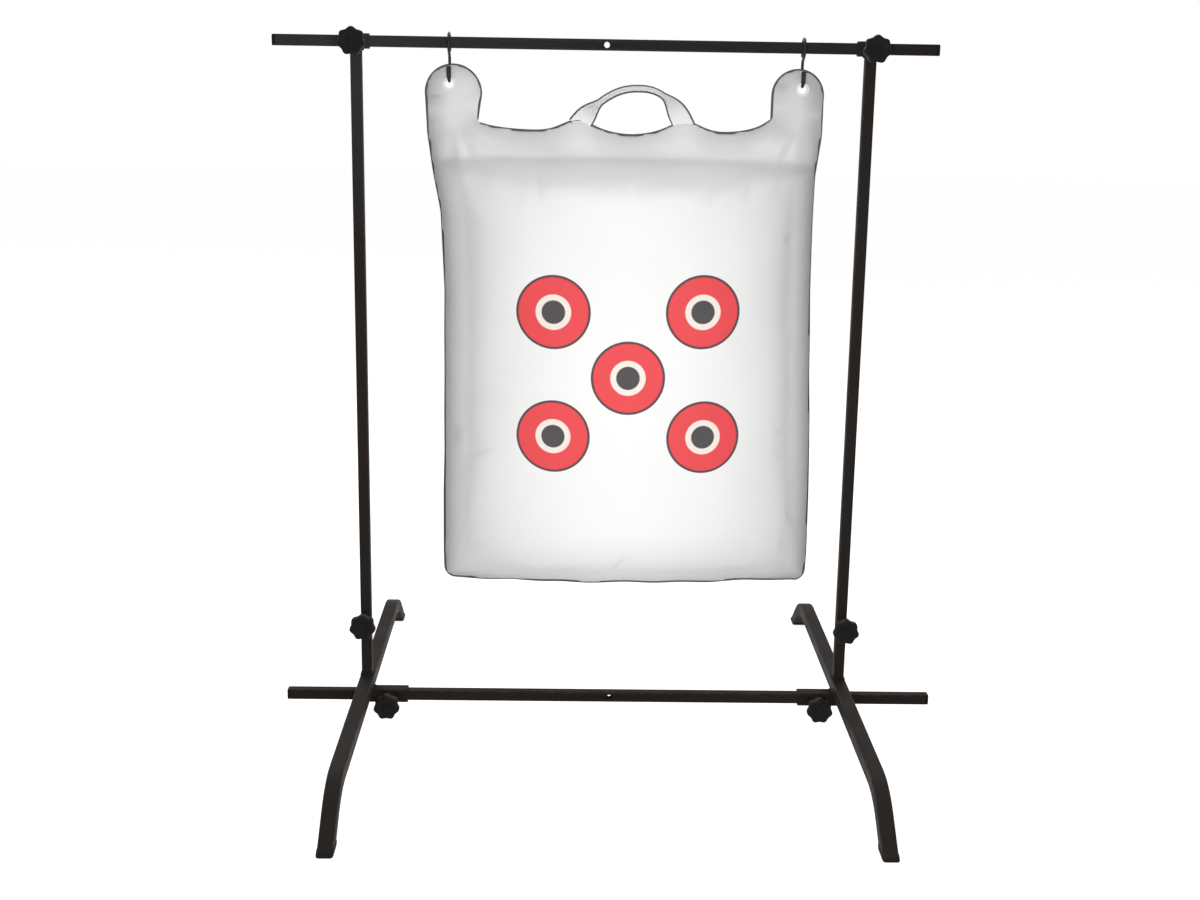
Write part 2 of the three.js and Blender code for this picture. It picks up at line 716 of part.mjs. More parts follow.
function handleSolid() {
  const rings = [];
  for (let step = 0; step <= handleSteps; step += 1) {
    const share = 2 * step / handleSteps - 1;
    const reach = 1 / handleSteps;
    const along = handlePlace(share + reach).sub(handlePlace(share - reach)).normalize();
    const upward = new THREE.Vector3(-along.y, 0, along.x);
    const across = new THREE.Vector3(0, 1, 0);
    const twist = clampShare((1 - Math.abs(share)) / handleTwistShare);
    const turn = Math.PI / 2 * twist ** 2 * (3 - 2 * twist);
    const wide = upward.clone().multiplyScalar(Math.cos(turn)).addScaledVector(across, Math.sin(turn));
    const thick = across.clone().multiplyScalar(Math.cos(turn)).addScaledVector(upward, -Math.sin(turn));
    const thickness = handleThickness + (handleGripThickness - handleThickness) * twist;
    const middle = handlePlace(share);
    rings.push([[-1, -1], [1, -1], [1, 1], [-1, 1]].map(([a, b]) => new THREE.Vector3(middle.x, 0, middle.y)
      .addScaledVector(wide, a * handleWidth / 2)
      .addScaledVector(thick, b * thickness / 2)));
  }
  return toSolid(loft(rings));
}

const handle = handleSolid().subtract(bag.translate(0, 0, seatGap));
addPiece('bag_handle', toGeometry(handle), bagWebbing, 0, 0, 0);

export default stand;
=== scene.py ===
"""Archery target stand: a frame of black square tube with a white stuffed bag hung on two S-hooks."""

import bpy
import numpy as np
from mathutils import Matrix, Vector


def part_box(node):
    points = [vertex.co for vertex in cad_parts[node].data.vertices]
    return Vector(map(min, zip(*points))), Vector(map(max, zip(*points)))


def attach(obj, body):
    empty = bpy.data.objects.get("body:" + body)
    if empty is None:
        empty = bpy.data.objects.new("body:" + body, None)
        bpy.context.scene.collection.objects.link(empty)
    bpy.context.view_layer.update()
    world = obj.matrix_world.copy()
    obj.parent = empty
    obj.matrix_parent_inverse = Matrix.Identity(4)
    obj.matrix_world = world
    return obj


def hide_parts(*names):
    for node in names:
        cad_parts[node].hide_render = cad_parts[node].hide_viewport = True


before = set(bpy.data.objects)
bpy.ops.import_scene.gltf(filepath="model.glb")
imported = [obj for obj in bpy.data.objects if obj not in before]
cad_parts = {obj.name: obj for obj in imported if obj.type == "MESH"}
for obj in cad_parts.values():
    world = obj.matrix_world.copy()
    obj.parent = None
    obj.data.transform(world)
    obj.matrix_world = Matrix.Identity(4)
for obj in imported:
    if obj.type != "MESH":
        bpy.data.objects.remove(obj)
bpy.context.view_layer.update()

# Camera. It stands 2.9 m in front of the stand at the height of the top bar, a little left of its
# middle, and looks down on it through a normal lens.
scene = bpy.context.scene
camera_place = Vector((-0.0786, -2.8661, 1.2040))
camera_pitch, camera_yaw, camera_roll = 0.2372, 0.0191, 0.0162
lens_mm, sensor_mm = 49.52, 36.0


def put(name, data):
    """An object for the data, in the scene."""
    thing = bpy.data.objects.new(name, data)
    scene.collection.objects.link(thing)
    return thing


def camera_axes(pitch, yaw, roll):
    """Right, up and forward of a camera that looks along +Y, turned by yaw, tipped down by pitch
    and rolled about its own line of sight."""
    forward = Vector((np.sin(yaw) * np.cos(pitch), np.cos(yaw) * np.cos(pitch), -np.sin(pitch)))
    right = Vector((np.cos(yaw), -np.sin(yaw), 0))
    up = right.cross(forward)
    rolled_right = np.cos(roll) * right + np.sin(roll) * up
    rolled_up = np.cos(roll) * up - np.sin(roll) * right
    return rolled_right, rolled_up, forward


camera_data = bpy.data.cameras.new("camera")
camera_data.lens = lens_mm
camera_data.sensor_width = sensor_mm
camera = put("camera", camera_data)
scene.camera = camera
right, up, forward = camera_axes(camera_pitch, camera_yaw, camera_roll)
camera_turn = Matrix((right, up, -forward)).transposed().to_4x4()
camera.matrix_world = Matrix.Translation(camera_place) @ camera_turn

# Studio. A pale floor that keeps only a soft shadow, a white surround behind it, a tall soft lamp in
# front of the stand, and others high beside the camera, above the stand and behind it on both sides.
scene.view_settings.view_transform = "Standard"
floor_reach = 14.0
floor_drop = 0.0004
surround_light = 0.20
lamps = [
    ("front_lamp", (0.02, -1.35, 0.72), (0.02, 0, 0.72), 0.5, 1.4, 11.9),
    ("high_lamp", (-1.5, -3.4, 2.3), (0, 0, 0.7), 2.4, 2.4, 8.0),
    ("top_lamp", (0.2, -0.3, 3.3), (0, 0, 0.7), 2.2, 2.2, 17.0),
    ("back_lamp", (1.4, 2.6, 3.4), (0, 0, 0.7), 2.4, 2.4, 46.0),
    ("rear_lamp", (-1.5, 2.2, 2.4), (0, 0, 0.7), 2.0, 2.0, 32.0),
]


def fill(tree, node, inputs):
    """Sets a node's inputs, by socket name or number, to values or to links from other sockets."""
    for name, value in inputs.items():
        if isinstance(value, bpy.types.NodeSocket):
            tree.links.new(value, node.inputs[name])
        else:
            node.inputs[name].default_value = value


def add_node(tree, kind, inputs, **settings):
    """Adds a shader node with its settings and inputs, and gives its outputs."""
    node = tree.nodes.new(f"ShaderNode{kind}")
    for name, value in settings.items():
        setattr(node, name, value)
    fill(tree, node, inputs)
    return node.outputs


def combine(tree, first, second, operation):
    """What a sum, product, comparison or the like makes of two values."""
    return add_node(tree, "Math", {0: first, 1: second}, operation=operation)[0]


def seen_directly(tree):
    """1 on rays from the camera, through clear things or off gloss, and 0 on those that light."""
    rays = add_node(tree, "LightPath", {})
    gloss = combine(tree, rays["Is Camera Ray"], rays["Is Glossy Ray"], "MAXIMUM")
    return combine(tree, gloss, rays["Is Transmission Ray"], "MAXIMUM")


def studio_floor_material():
    """Pale floor: what the camera sees is mostly its own white, so that only shadows darken it."""
    material = bpy.data.materials.new("studio_floor")
    material.use_nodes = True
    tree = material.node_tree
    tree.nodes.clear()
    own_white = add_node(tree, "Emission", {"Color": (1, 1, 1, 1), "Strength": 0.89})[0]
    shaded = add_node(tree, "BsdfDiffuse", {"Color": (0.5, 0.5, 0.5, 1)})[0]
    seen = add_node(tree, "AddShader", {0: own_white, 1: shaded})[0]
    bounced = add_node(tree, "BsdfDiffuse", {"Color": (0.8, 0.8, 0.8, 1)})[0]
    both = add_node(tree, "MixShader", {0: seen_directly(tree), 1: bounced, 2: seen})[0]
    add_node(tree, "OutputMaterial", {"Surface": both})
    return material


floor_mesh = bpy.data.meshes.new("studio_floor")
floor_mesh.from_pydata(
    [(x * floor_reach, y * floor_reach, -floor_drop) for x, y in ((-1, -1), (1, -1), (1, 1), (-1, 1))],
    [], [(0, 1, 2, 3)])
floor_mesh.materials.append(studio_floor_material())
floor = put("studio_floor", floor_mesh)

world = bpy.data.worlds.new("studio_surround")
scene.world = world
world.use_nodes = True
world.node_tree.nodes.clear()
sky = world.node_tree
lit, white = (add_node(sky, "Background", {"Color": (1, 1, 1, 1), "Strength": strength})[0]
              for strength in (surround_light, 1.0))
backdrop = add_node(sky, "MixShader", {0: seen_directly(sky), 1: lit, 2: white})[0]
add_node(sky, "OutputWorld", {"Surface": backdrop})

for name, place, aim, width, height, watts in lamps:
    lamp_data = bpy.data.lights.new(name, "AREA")
    lamp_data.shape = "ELLIPSE"
    lamp_data.size = width
    lamp_data.size_y = height
    lamp_data.energy = watts
    lamp = put(name, lamp_data)
    lamp.matrix_world = Matrix.Translation(place) @ (
        (Vector(aim) - Vector(place)).to_track_quat("-Z", "Y").to_matrix().to_4x4())
    lamp.visible_camera = False

# Top and bottom bars. Each is one length of 19 mm square steel tube, powder-coated satin black, with
# a 10 mm hole drilled from front to back through its middle. They slide through the sleeves.
tube_wall = 0.0015
tube_corner = 0.0024
cut_edge = 0.0004
bar_hole_radius = 0.005
flat_margin = 0.0004
corner_steps = 6
drill_sides = 48
paint_cool = (0.0360, 0.0360, 0.0380, 1)
paint_warm = (0.0190, 0.0152, 0.0135, 1)
paint_dust = (0.026, 0.022, 0.019, 1)
paint_bare = (0.060, 0.055, 0.051, 1)


def square_outline(size, corner):
    """Points round a square with round corners, counter-clockwise, and how far each is into a corner.

    On each corner an arc runs from one flat to the next, with one more point on the flat before it
    and after it, so that the flats stay flat when the surface is shaded smooth. The second result
    is 0 on the flats and rises as a sine to 1 at the middle of each corner.
    """
    turn = np.linspace(0, np.pi / 2, corner_steps + 1)
    quarter = np.arange(4) * np.pi / 2
    angle = quarter[:, None] + turn
    centre = (size / 2 - corner) * np.sqrt(2) * np.stack(
        [np.cos(quarter + np.pi / 4), np.sin(quarter + np.pi / 4)], -1)
    arc = centre[:, None] + corner * np.stack([np.cos(angle), np.sin(angle)], -1)
    before = arc[:, :1] + flat_margin * np.stack([np.sin(quarter), -np.cos(quarter)], -1)[:, None]
    after = arc[:, -1:] + flat_margin * np.stack([-np.cos(quarter), -np.sin(quarter)], -1)[:, None]
    outline = np.concatenate([before, arc, after], 1).reshape(-1, 2)
    into = np.tile(np.concatenate([[0], np.sin(2 * turn), [0]]), 4)
    return outline, into


def full_turn(count):
    """Evenly spaced angles round a full turn."""
    return np.linspace(0, 2 * np.pi, count, endpoint=False)


def circle_points(count):
    """Points round a circle of radius 1, from its first direction towards its second."""
    return np.stack([np.cos(full_turn(count)), np.sin(full_turn(count))], -1)


def carry(outline, origins, side, up):
    """Rings of points: each outline point is its origin plus its first number along the side
    direction and its second along the up direction, which may differ from ring to ring."""
    origins = np.asarray(origins, float)
    side, up = (np.broadcast_to(way, origins.shape)[:, None] for way in (side, up))
    return origins[:, None] + outline[..., :1] * side + outline[..., 1:] * up


def ring_faces(ring_count, point_count, looped):
    """Quads between neighbouring rings; a looped run joins its last ring to its first."""
    ring = np.arange(ring_count if looped else ring_count - 1)[:, None]
    point = np.arange(point_count)
    here = ring * point_count
    there = (ring + 1) % ring_count * point_count
    after = (point + 1) % point_count
    return np.stack([here + point, here + after, there + after, there + point], -1).reshape(-1, 4)


def add_skin(name, rings, material, looped=False, wear=None, sharp=35.0):
    """A closed piece from rings of points: quads between them, and a flat face over each end ring
    unless the run is looped. Wear is a value for each point, kept for the material."""
    ring_count, point_count = rings.shape[:2]
    points = rings.reshape(-1, 3)
    faces = ring_faces(ring_count, point_count, looped).tolist()
    if not looped:
        faces += [list(range(point_count))[::-1],
                  list(range((ring_count - 1) * point_count, ring_count * point_count))]
    corners = points[ring_faces(ring_count, point_count, looped)]
    outward = np.cross(corners[:, 2] - corners[:, 0], corners[:, 3] - corners[:, 1])
    if (corners.mean(1) * outward).sum() < 0:
        faces = [face[::-1] for face in faces]
    mesh = bpy.data.meshes.new(name)
    mesh.from_pydata(points.tolist(), [], faces)
    if wear is not None:
        kept = mesh.attributes.new("edge_wear", "FLOAT", "POINT")
        kept.data.foreach_set("value", wear.astype(np.float32).ravel())
    mesh.polygons.foreach_set("use_smooth", np.ones(len(mesh.polygons), bool))
    mesh.set_sharp_from_angle(angle=np.radians(sharp))
    mesh.materials.append(material)
    return put(name, mesh)


def settle(piece, body, slot, *nodes):
    """The piece moves with its body and stands for the nodes, which it hides. The slot is not used."""
    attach(piece, body)
    if nodes:
        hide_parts(*nodes)
    return piece


def applied(piece):
    """Replaces the piece's mesh by what its modifiers make of it, and removes them."""
    bpy.context.view_layer.update()
    made = bpy.data.meshes.new_from_object(piece.evaluated_get(bpy.context.evaluated_depsgraph_get()))
    piece.modifiers.clear()
    piece.data = made


def drill(piece, centre, radius, reach):
    """Cuts a round hole along Y through the piece, by a Boolean with a rod that is then removed."""
    ends = [(centre[0], centre[1] + way * reach, centre[2]) for way in (-1, 1)]
    rings = carry(radius * circle_points(drill_sides), ends, (1, 0, 0), (0, 0, 1))
    rod = add_skin("drill", rings, piece.data.materials[0])
    cut = piece.modifiers.new("drill", "BOOLEAN")
    cut.operation = "DIFFERENCE"
    cut.object = rod
    cut.solver = "EXACT"
    applied(piece)
    bpy.data.objects.remove(rod)


def square_tube(name, start, end, size, wall, corner):
    """Straight open square tube from start to end: rings of its outside, with a small bevel at each
    cut end, then rings of its bore back to the start."""
    start, end = np.array(start, float), np.array(end, float)
    length = np.linalg.norm(end - start)
    along = (end - start) / length
    side = np.array((1.0, 0, 0)) if abs(along[2]) > 0.5 else np.array((0, 1.0, 0))
    up = np.cross(along, side)
    outside, into = square_outline(size, corner)
    cut = outside * (1 - 2 * cut_edge / size)
    bore = square_outline(size - 2 * wall, max(corner - wall, wall / 4))[0]
    places = np.array([0, cut_edge, length - cut_edge, length, length, 0])
    outlines = np.stack([cut, outside, outside, cut, bore, bore])
    rings = carry(outlines, start + places[:, None] * along, side, up)
    wear = np.stack([into * 0 + 1, into, into, into * 0 + 1, into * 0, into * 0])
    return add_skin(name, rings, black_paint, looped=True, wear=wear)


def new_material(name):
    """A material, its node tree and shader, and the place on the piece that its patterns read."""
    material = bpy.data.materials.new(name)
    material.use_nodes = True
    tree = material.node_tree
    place = add_node(tree, "TexCoord", {})["Object"]
    return material, tree, tree.nodes["Principled BSDF"], place


def noise(tree, place, scale, detail, roughness=0.5):
    """Fractal noise, with its scale in cells per metre."""
    inputs = {"Vector": place, "Scale": scale, "Detail": detail, "Roughness": roughness}
    return add_node(tree, "TexNoise", inputs)[0]


def drawn_out(tree, value, low, high, start=0.0, end=1.0):
    """The value between low and high drawn out to run from start to end, and held past them."""
    return add_node(tree, "MapRange", {0: value, 1: low, 2: high, 3: start, 4: end})[0]


def blend(tree, share, first, second):
    """Colour at a share of the way from the first to the second."""
    return add_node(tree, "Mix", {0: share, 6: first, 7: second}, data_type="RGBA")[2]


def bumped(tree, height, strength, depth, **under):
    """Normal of a surface raised by a height pattern of a depth in metres, over another Normal."""
    return add_node(tree, "Bump", {"Strength": strength, "Distance": depth, "Height": height, **under})[0]


def satin_black_paint():
    """Satin black powder coat: near-black that drifts from cool at the top left to warm at the right
    and further down, a fine orange-peel skin, and a little bare grey where edges rub."""
    material, tree, shader, place = new_material("satin_black_paint")
    axes = add_node(tree, "SeparateXYZ", {0: place})
    rightward = drawn_out(tree, axes[0], -0.5, 0.5)
    downward = drawn_out(tree, axes[2], 1.15, 0.85)
    tone = blend(tree, combine(tree, rightward, downward, "MAXIMUM"), paint_cool, paint_warm)
    cloud = noise(tree, place, 14.0, 6.0)
    dusty = blend(tree, drawn_out(tree, cloud, 0.35, 0.8, 0.0, 0.35), tone, paint_dust)
    rub = add_node(tree, "Attribute", {}, attribute_name="edge_wear")["Fac"]
    worn = combine(tree, rub, noise(tree, place, 90.0, 8.0, 0.7), "MULTIPLY")
    fill(tree, shader, {
        "Base Color": blend(tree, drawn_out(tree, worn, 0.42, 0.62), dusty, paint_bare),
        "Roughness": drawn_out(tree, cloud, 0.3, 0.7, 0.46, 0.62),
        "Normal": bumped(tree, noise(tree, place, 700.0, 2.0), 0.25, 0.0002),
        "Specular IOR Level": 0.03})
    return material


black_paint = satin_black_paint()


def span(node):
    """Low corner, high corner and middle of a node's CAD box."""
    low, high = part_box(node)
    return low, high, [(a + b) / 2 for a, b in zip(low, high)]


def bar_axis(bar):
    """The bar's axis from its tube's own box: two ends and the tube's size."""
    low, high, (_, y, z) = span(bar)
    return (low.x, y, z), (high.x, y, z), high.z - low.z


for bar in ("bottom_bar", "top_bar"):
    start, end, tube_size = bar_axis(bar)
    piece = square_tube(f"{bar}_tube", start, end, tube_size, tube_wall, tube_corner)
    drill(piece, ((start[0] + end[0]) / 2, start[1], start[2]), bar_hole_radius, tube_size)
    settle(piece, bar, "frame_paint", bar)

# Bar end caps. Square plugs of black polythene pushed into each end of both bars. A low domed head
# covers the cut end, and the plug behind it has a clearance in the bore. The moulding has a fine
# spark-eroded grain.
cap_round = 0.0016
cap_plug_gap = 0.0004
cap_mouth_gap = 0.0003
cap_round_steps = 6


def mottled(name, scale, detail, colours, roughness, gloss=0.5):
    """A material whose colour and roughness each drift between two values with the same noise."""
    material, tree, shader, place = new_material(name)
    cloud = noise(tree, place, scale, detail)
    fill(tree, shader, {
        "Base Color": blend(tree, cloud, *colours),
        "Roughness": drawn_out(tree, cloud, 0.3, 0.7, *roughness),
        "Specular IOR Level": gloss})
    return material, tree, shader, place


plastic_tones = (0.003, 0.0026, 0.0022, 1), (0.010, 0.0085, 0.0075, 1)
black_plastic, tree, shader, place = mottled(
    "matte_black_plastic", 60.0, 5.0, plastic_tones, (0.5, 0.66), 0.1)
fill(tree, shader, {"Normal": bumped(tree, noise(tree, place, 1600.0, 3.0), 0.35, 0.0001)})


def end_cap(name, mouth, outward, head, reach, size):
    """Cap with its head from the tube's mouth outward and its plug inward: rings run from the plug's
    end to the mouth, out over the head's side, and in along a quarter circle to the domed face."""
    outward = np.array(outward, float)
    side = np.array((0, 1.0, 0))
    up = np.cross(outward, side)
    full = square_outline(size, tube_corner)[0]
    plug_size = size - 2 * tube_wall - 2 * cap_plug_gap
    plug = square_outline(plug_size, tube_corner - tube_wall)[0]
    turn = np.linspace(0, np.pi / 2, cap_round_steps + 1)
    places = np.concatenate([[-reach, 0, 0], head - cap_round + cap_round * np.sin(turn)])
    shrink = 1 - 2 * cap_round * (1 - np.cos(turn)) / size
    outlines = np.concatenate([[plug, plug, full], full * shrink[:, None, None]])
    origins = np.array(mouth) + places[:, None] * outward
    return add_skin(name, carry(outlines, origins, side, up), black_plastic)


for bar in ("bottom_bar", "top_bar"):
    start, end, tube_size = bar_axis(bar)
    for word, sign in (("left", -1), ("right", 1)):
        node = f"{bar}_cap_{word}"
        low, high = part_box(node)
        tube_end, outer, inner = (start[0], low.x, high.x) if sign < 0 else (end[0], high.x, low.x)
        mouth = tube_end + sign * cap_mouth_gap
        cap = end_cap(f"{node}_plug", (mouth, start[1], start[2]), (sign, 0, 0),
                      abs(outer - mouth), abs(inner - mouth), tube_size)
        settle(cap, bar, "black_plastic", node)

# Feet. Each is one length of 25 mm square tube that runs level from front to back and is bent down
# at both ends, with its ends cut level so that they stand flat on the floor.
foot_wall = 0.0016
foot_corner = 0.003
foot_flat_half = 0.398
foot_bend_radius = 0.150
foot_bend_angle = np.radians(37.0)
foot_bend_steps = 18
pad_thickness = 0.005
pad_gap = 0.0003
pad_plug_length = 0.014
pad_plug_gap = 0.0004


def foot_section(outline, x, axis_height, side, angle):
    """Ring of a foot where its axis slopes down by angle towards side: the outline's first number
    runs across the axis in the plane of the bend, and its second along X."""
    y = side * (foot_flat_half + foot_bend_radius * np.sin(angle))
    z = axis_height - foot_bend_radius * (1 - np.cos(angle))
    normal = (0, side * np.sin(angle), np.cos(angle))
    return carry(outline, [(x, y, z)], normal, (1, 0, 0))[0]


def foot_end(outline, x, axis_height, side, level):
    """Ring where a level plane cuts the sloping end: each point slides down the slope to the level."""
    ring = foot_section(outline, x, axis_height, side, foot_bend_angle)
    slide = (level - ring[:, 2:]) / -np.sin(foot_bend_angle)
    return ring + slide * np.array((0, side * np.cos(foot_bend_angle), -np.sin(foot_bend_angle)))


def foot_run(outline, x, axis_height):
    """Rings from the front end up, round the front bend, along the flat, and down to the rear end."""
    level = pad_thickness + pad_gap
    bend = np.linspace(0, foot_bend_angle, foot_bend_steps + 1)
    front = [foot_section(outline, x, axis_height, -1, angle) for angle in bend[::-1]]
    rear = [foot_section(outline, x, axis_height, 1, angle) for angle in bend]
    ends = [foot_end(outline, x, axis_height, side, level) for side in (-1, 1)]
    return np.stack([ends[0], *front, *rear, ends[1]])


foot_x = {}
for word in ("left", "right"):
    low, high, (foot_x[word], _, _) = span(f"foot_{word}")
    foot_size = high.x - low.x
    axis_height = high.z - foot_size / 2
    outside, into = square_outline(foot_size, foot_corner)
    bore = square_outline(foot_size - 2 * foot_wall, foot_corner - foot_wall)[0]
    outer_run = foot_run(outside, foot_x[word], axis_height)
    bore_run = foot_run(bore, foot_x[word], axis_height)
    wear = np.concatenate([np.tile(into, (len(outer_run), 1)), np.zeros((len(bore_run), len(into)))])
    foot = add_skin(f"foot_{word}_tube", np.concatenate([outer_run, bore_run[::-1]]), black_paint,
                    looped=True, wear=wear)
    settle(foot, f"{word}_base", "frame_paint", f"foot_{word}")

# Foot pads. Black polythene shoes on the foot ends: a level sole, rounded where it meets the floor, a
# low rim round the outside of the tube, and a plug inside it that follows the slope of the leg.
sole_round = 0.0022
rim_proud = 0.0011
rim_height = 0.0072
rim_round = 0.0006
rim_gap = 0.0002

for word in ("left", "right"):
    low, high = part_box(f"foot_{word}")
    axis_height = high.z - foot_size / 2
    rim = square_outline(foot_size + 2 * rim_proud, foot_corner + rim_proud)[0]
    rim_inside = square_outline(foot_size + rim_gap, foot_corner)[0]
    plug = square_outline(foot_size - 2 * foot_wall - 2 * pad_plug_gap, foot_corner - foot_wall)[0]
    for place, side in (("front", -1), ("rear", 1)):
        turn = np.linspace(np.pi / 2, 0, cap_round_steps)
        rounded = [
            foot_end(rim * (1 - 2 * sole_round * (1 - np.cos(a)) / foot_size), foot_x[word], axis_height,
                     side, sole_round * (1 - np.sin(a))) for a in turn]
        stations = [(rim, rim_height - rim_round), (rim * (1 - 2 * rim_round / foot_size), rim_height),
                    (rim_inside, rim_height), (rim_inside, pad_thickness), (plug, pad_thickness),
                    (plug, pad_thickness + pad_plug_length)]
        rings = rounded + [foot_end(outline, foot_x[word], axis_height, side, level)
                           for outline, level in stations]
        pad = add_skin(f"foot_pad_{place}_{word}_shoe", np.stack(rings), black_plastic)
        settle(pad, f"{word}_base", "black_plastic", f"foot_pad_{place}_{word}")

# Sleeves. Short lengths of heavy square tube: one welded under each foot for the bottom bar, and one
# on the top of each upright for the top bar. The front wall of each is drilled for its knob's stud.
sleeve_wall = 0.0026
stud_hole_radius = 0.0045
front_share = 1 / 3

for word in ("left", "right"):
    for kind, body in (("base", f"{word}_base"), ("top", f"{word}_upright")):
        low, high, (_, y, z) = span(f"{kind}_sleeve_{word}")
        stud_x = span(f"knob_stud_{kind}_{word}")[2][0]
        sleeve = square_tube(f"{kind}_sleeve_{word}_tube", (low.x, y, z), (high.x, y, z),
                             high.z - low.z, sleeve_wall, foot_corner)
        drill(sleeve, (stud_x, low.y, z), stud_hole_radius, (high.y - low.y) * front_share)
        settle(sleeve, body, "frame_paint", f"{kind}_sleeve_{word}")

# Posts. Short lengths of the bar tube that stand on the feet and take the uprights' spigots, each
# drilled through its front wall for a knob.


def standing_tube(node, body):
    """Upright tube that fills the node's box."""
    low, high, (x, y, _) = span(node)
    tube = square_tube(f"{node}_tube", (x, y, low.z), (x, y, high.z), high.x - low.x, tube_wall, tube_corner)
    return settle(tube, body, "frame_paint", node)


for word in ("left", "right"):
    low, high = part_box(f"post_{word}")
    x, _, stud_z = span(f"knob_stud_post_{word}")[2]
    post = standing_tube(f"post_{word}", f"{word}_base")
    drill(post, (x, low.y, stud_z), stud_hole_radius, (high.y - low.y) * front_share)

# Uprights. Lengths of the bar tube that stand on the posts' rims. A spigot of smaller square tube is
# plug-welded inside each lower end and slides in the post, with its tip drawn in to find the bore.
spigot_wall = 0.0014
spigot_lead = 0.003
spigot_lead_step = 0.0007


def spigot_tube(name, x, y, bottom, top, size):
    """Spigot as rings: its drawn-in tip, its full size to the top, and its bore back down."""
    corner = tube_corner - tube_wall
    sizes = [size - 2 * spigot_lead_step, size, size, size - 2 * spigot_wall, size - 2 * spigot_wall]
    heights = [bottom, bottom + spigot_lead, top, top, bottom]
    corners = [corner, corner, corner, corner / 2, corner / 2]
    sections = [square_outline(*section) for section in zip(sizes, corners)]
    outlines = np.stack([section[0] for section in sections])
    rings = carry(outlines, [(x, y, z) for z in heights], (1, 0, 0), (0, 1, 0))
    wear = np.stack([section[1] for section in sections])
    return add_skin(name, rings, black_paint, looped=True, wear=wear)


for word in ("left", "right"):
    standing_tube(f"upright_{word}", f"{word}_upright")
    low, high, (x, y, _) = span(f"spigot_{word}")
    spigot = spigot_tube(f"spigot_{word}_tube", x, y, low.z, high.z, high.x - low.x)
    settle(spigot, f"{word}_upright", "frame_paint", f"spigot_{word}")

# Welds. Narrow beads of painted weld metal along the joints of sleeve, post, foot and upright, laid
# by hand, so each swells and sinks a little along its length.
bead_radius = 0.0021
bead_ripple = 0.00035
bead_pitch = 0.0032
bead_sides = 10
bead_stand_off = 0.001
bead_above_foot = 0.0006
bead_below_sleeve = 0.0004
joint_half = 0.011


def directions(points, looped):
    """Unit direction of a path at each of its points."""
    ahead = np.roll(points, -1, 0) - np.roll(points, 1, 0)
    if not looped:
        ahead[0], ahead[-1] = points[1] - points[0], points[-1] - points[-2]
    return ahead / np.linalg.norm(ahead, axis=1)[:, None]


def weld_bead(name, path, body, looped, seed):
    """Tube along a path of points: its radius is the bead's plus ripples at the bead's pitch and a
    slow random swell; an open bead tapers to nothing at its ends as a square root."""
    path = np.asarray(path, float)
    step = np.linalg.norm(np.diff(path, axis=0), axis=1)
    run = np.concatenate([[0], np.cumsum(step)])
    places = np.arange(0, run[-1], bead_pitch / 6)
    points = np.stack([np.interp(places, run, path[:, k]) for k in range(3)], -1)
    plane = np.cross(path[len(path) // 3] - path[0], path[len(path) // 2] - path[0])
    plane = plane / np.linalg.norm(plane) if np.linalg.norm(plane) > 1e-9 else np.array((0, 0, 1.0))
    side = np.cross(plane, directions(points, looped))
    side /= np.linalg.norm(side, axis=1)[:, None]
    wander = np.random.default_rng(seed).normal(size=len(places) // 40 + 4)
    swell = np.interp(np.linspace(0, len(wander) - 1, len(places)), np.arange(len(wander)), wander)
    radius = bead_radius + bead_ripple * np.cos(2 * np.pi * places / bead_pitch) + bead_ripple * swell
    if not looped:
        radius = radius * np.sqrt(np.clip(np.minimum(places, places[-1] - places) / bead_radius, 0.02, 1))
    rings = carry(circle_points(bead_sides) * radius[:, None, None], points, side, plane)
    bead = add_skin(name, rings, black_paint, looped=looped)
    settle(bead, body, "frame_paint")


def square_path(x, z):
    """Level path just outside an upright's or a post's tube, closed on itself."""
    outline = square_outline(tube_size + bead_stand_off, tube_corner)[0]
    path = np.column_stack([outline[:, 0] + x, outline[:, 1], np.full(len(outline), z)])
    return np.vstack([path, path[:1]])


for number, word in enumerate(("left", "right")):
    low, _, (x, _, _) = span(f"post_{word}")
    post_foot = low.z + bead_above_foot
    upright_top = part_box(f"upright_{word}")[1].z - bead_below_sleeve
    foot_low, foot_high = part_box(f"foot_{word}")
    edge = foot_low.x if word == "right" else foot_high.x
    joint_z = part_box(f"base_sleeve_{word}")[1].z
    joint = [(edge, y, joint_z) for y in (-joint_half, 0, joint_half)]
    weld_bead(f"post_weld_{word}", square_path(x, post_foot), f"{word}_base", True, 11 + number)
    weld_bead(f"top_sleeve_weld_{word}", square_path(x, upright_top), f"{word}_upright", True, 21 + number)
    weld_bead(f"base_sleeve_weld_inner_{word}", joint, f"{word}_base", False, 31 + number)

# Weld nuts. Six M8 hexagon nuts with chamfered corners, welded over the stud holes and painted with
# the frame.
nut_across = 0.013
nut_bore_radius = 0.0044
nut_sides = 48
nut_weld_reach = 0.53 * nut_across
nut_weld_lift = 0.0004
nut_weld_points = 60


def turned_rings(start, radius, places):
    """Rings about an axis along -Y from its start: a radius for each place along it and each turn."""
    outline = radius[..., None] * circle_points(radius.shape[1])[:, ::-1]
    origins = np.array(start) + places[:, None] * np.array((0, -1.0, 0))
    return carry(outline, origins, (1, 0, 0), (0, 0, 1))


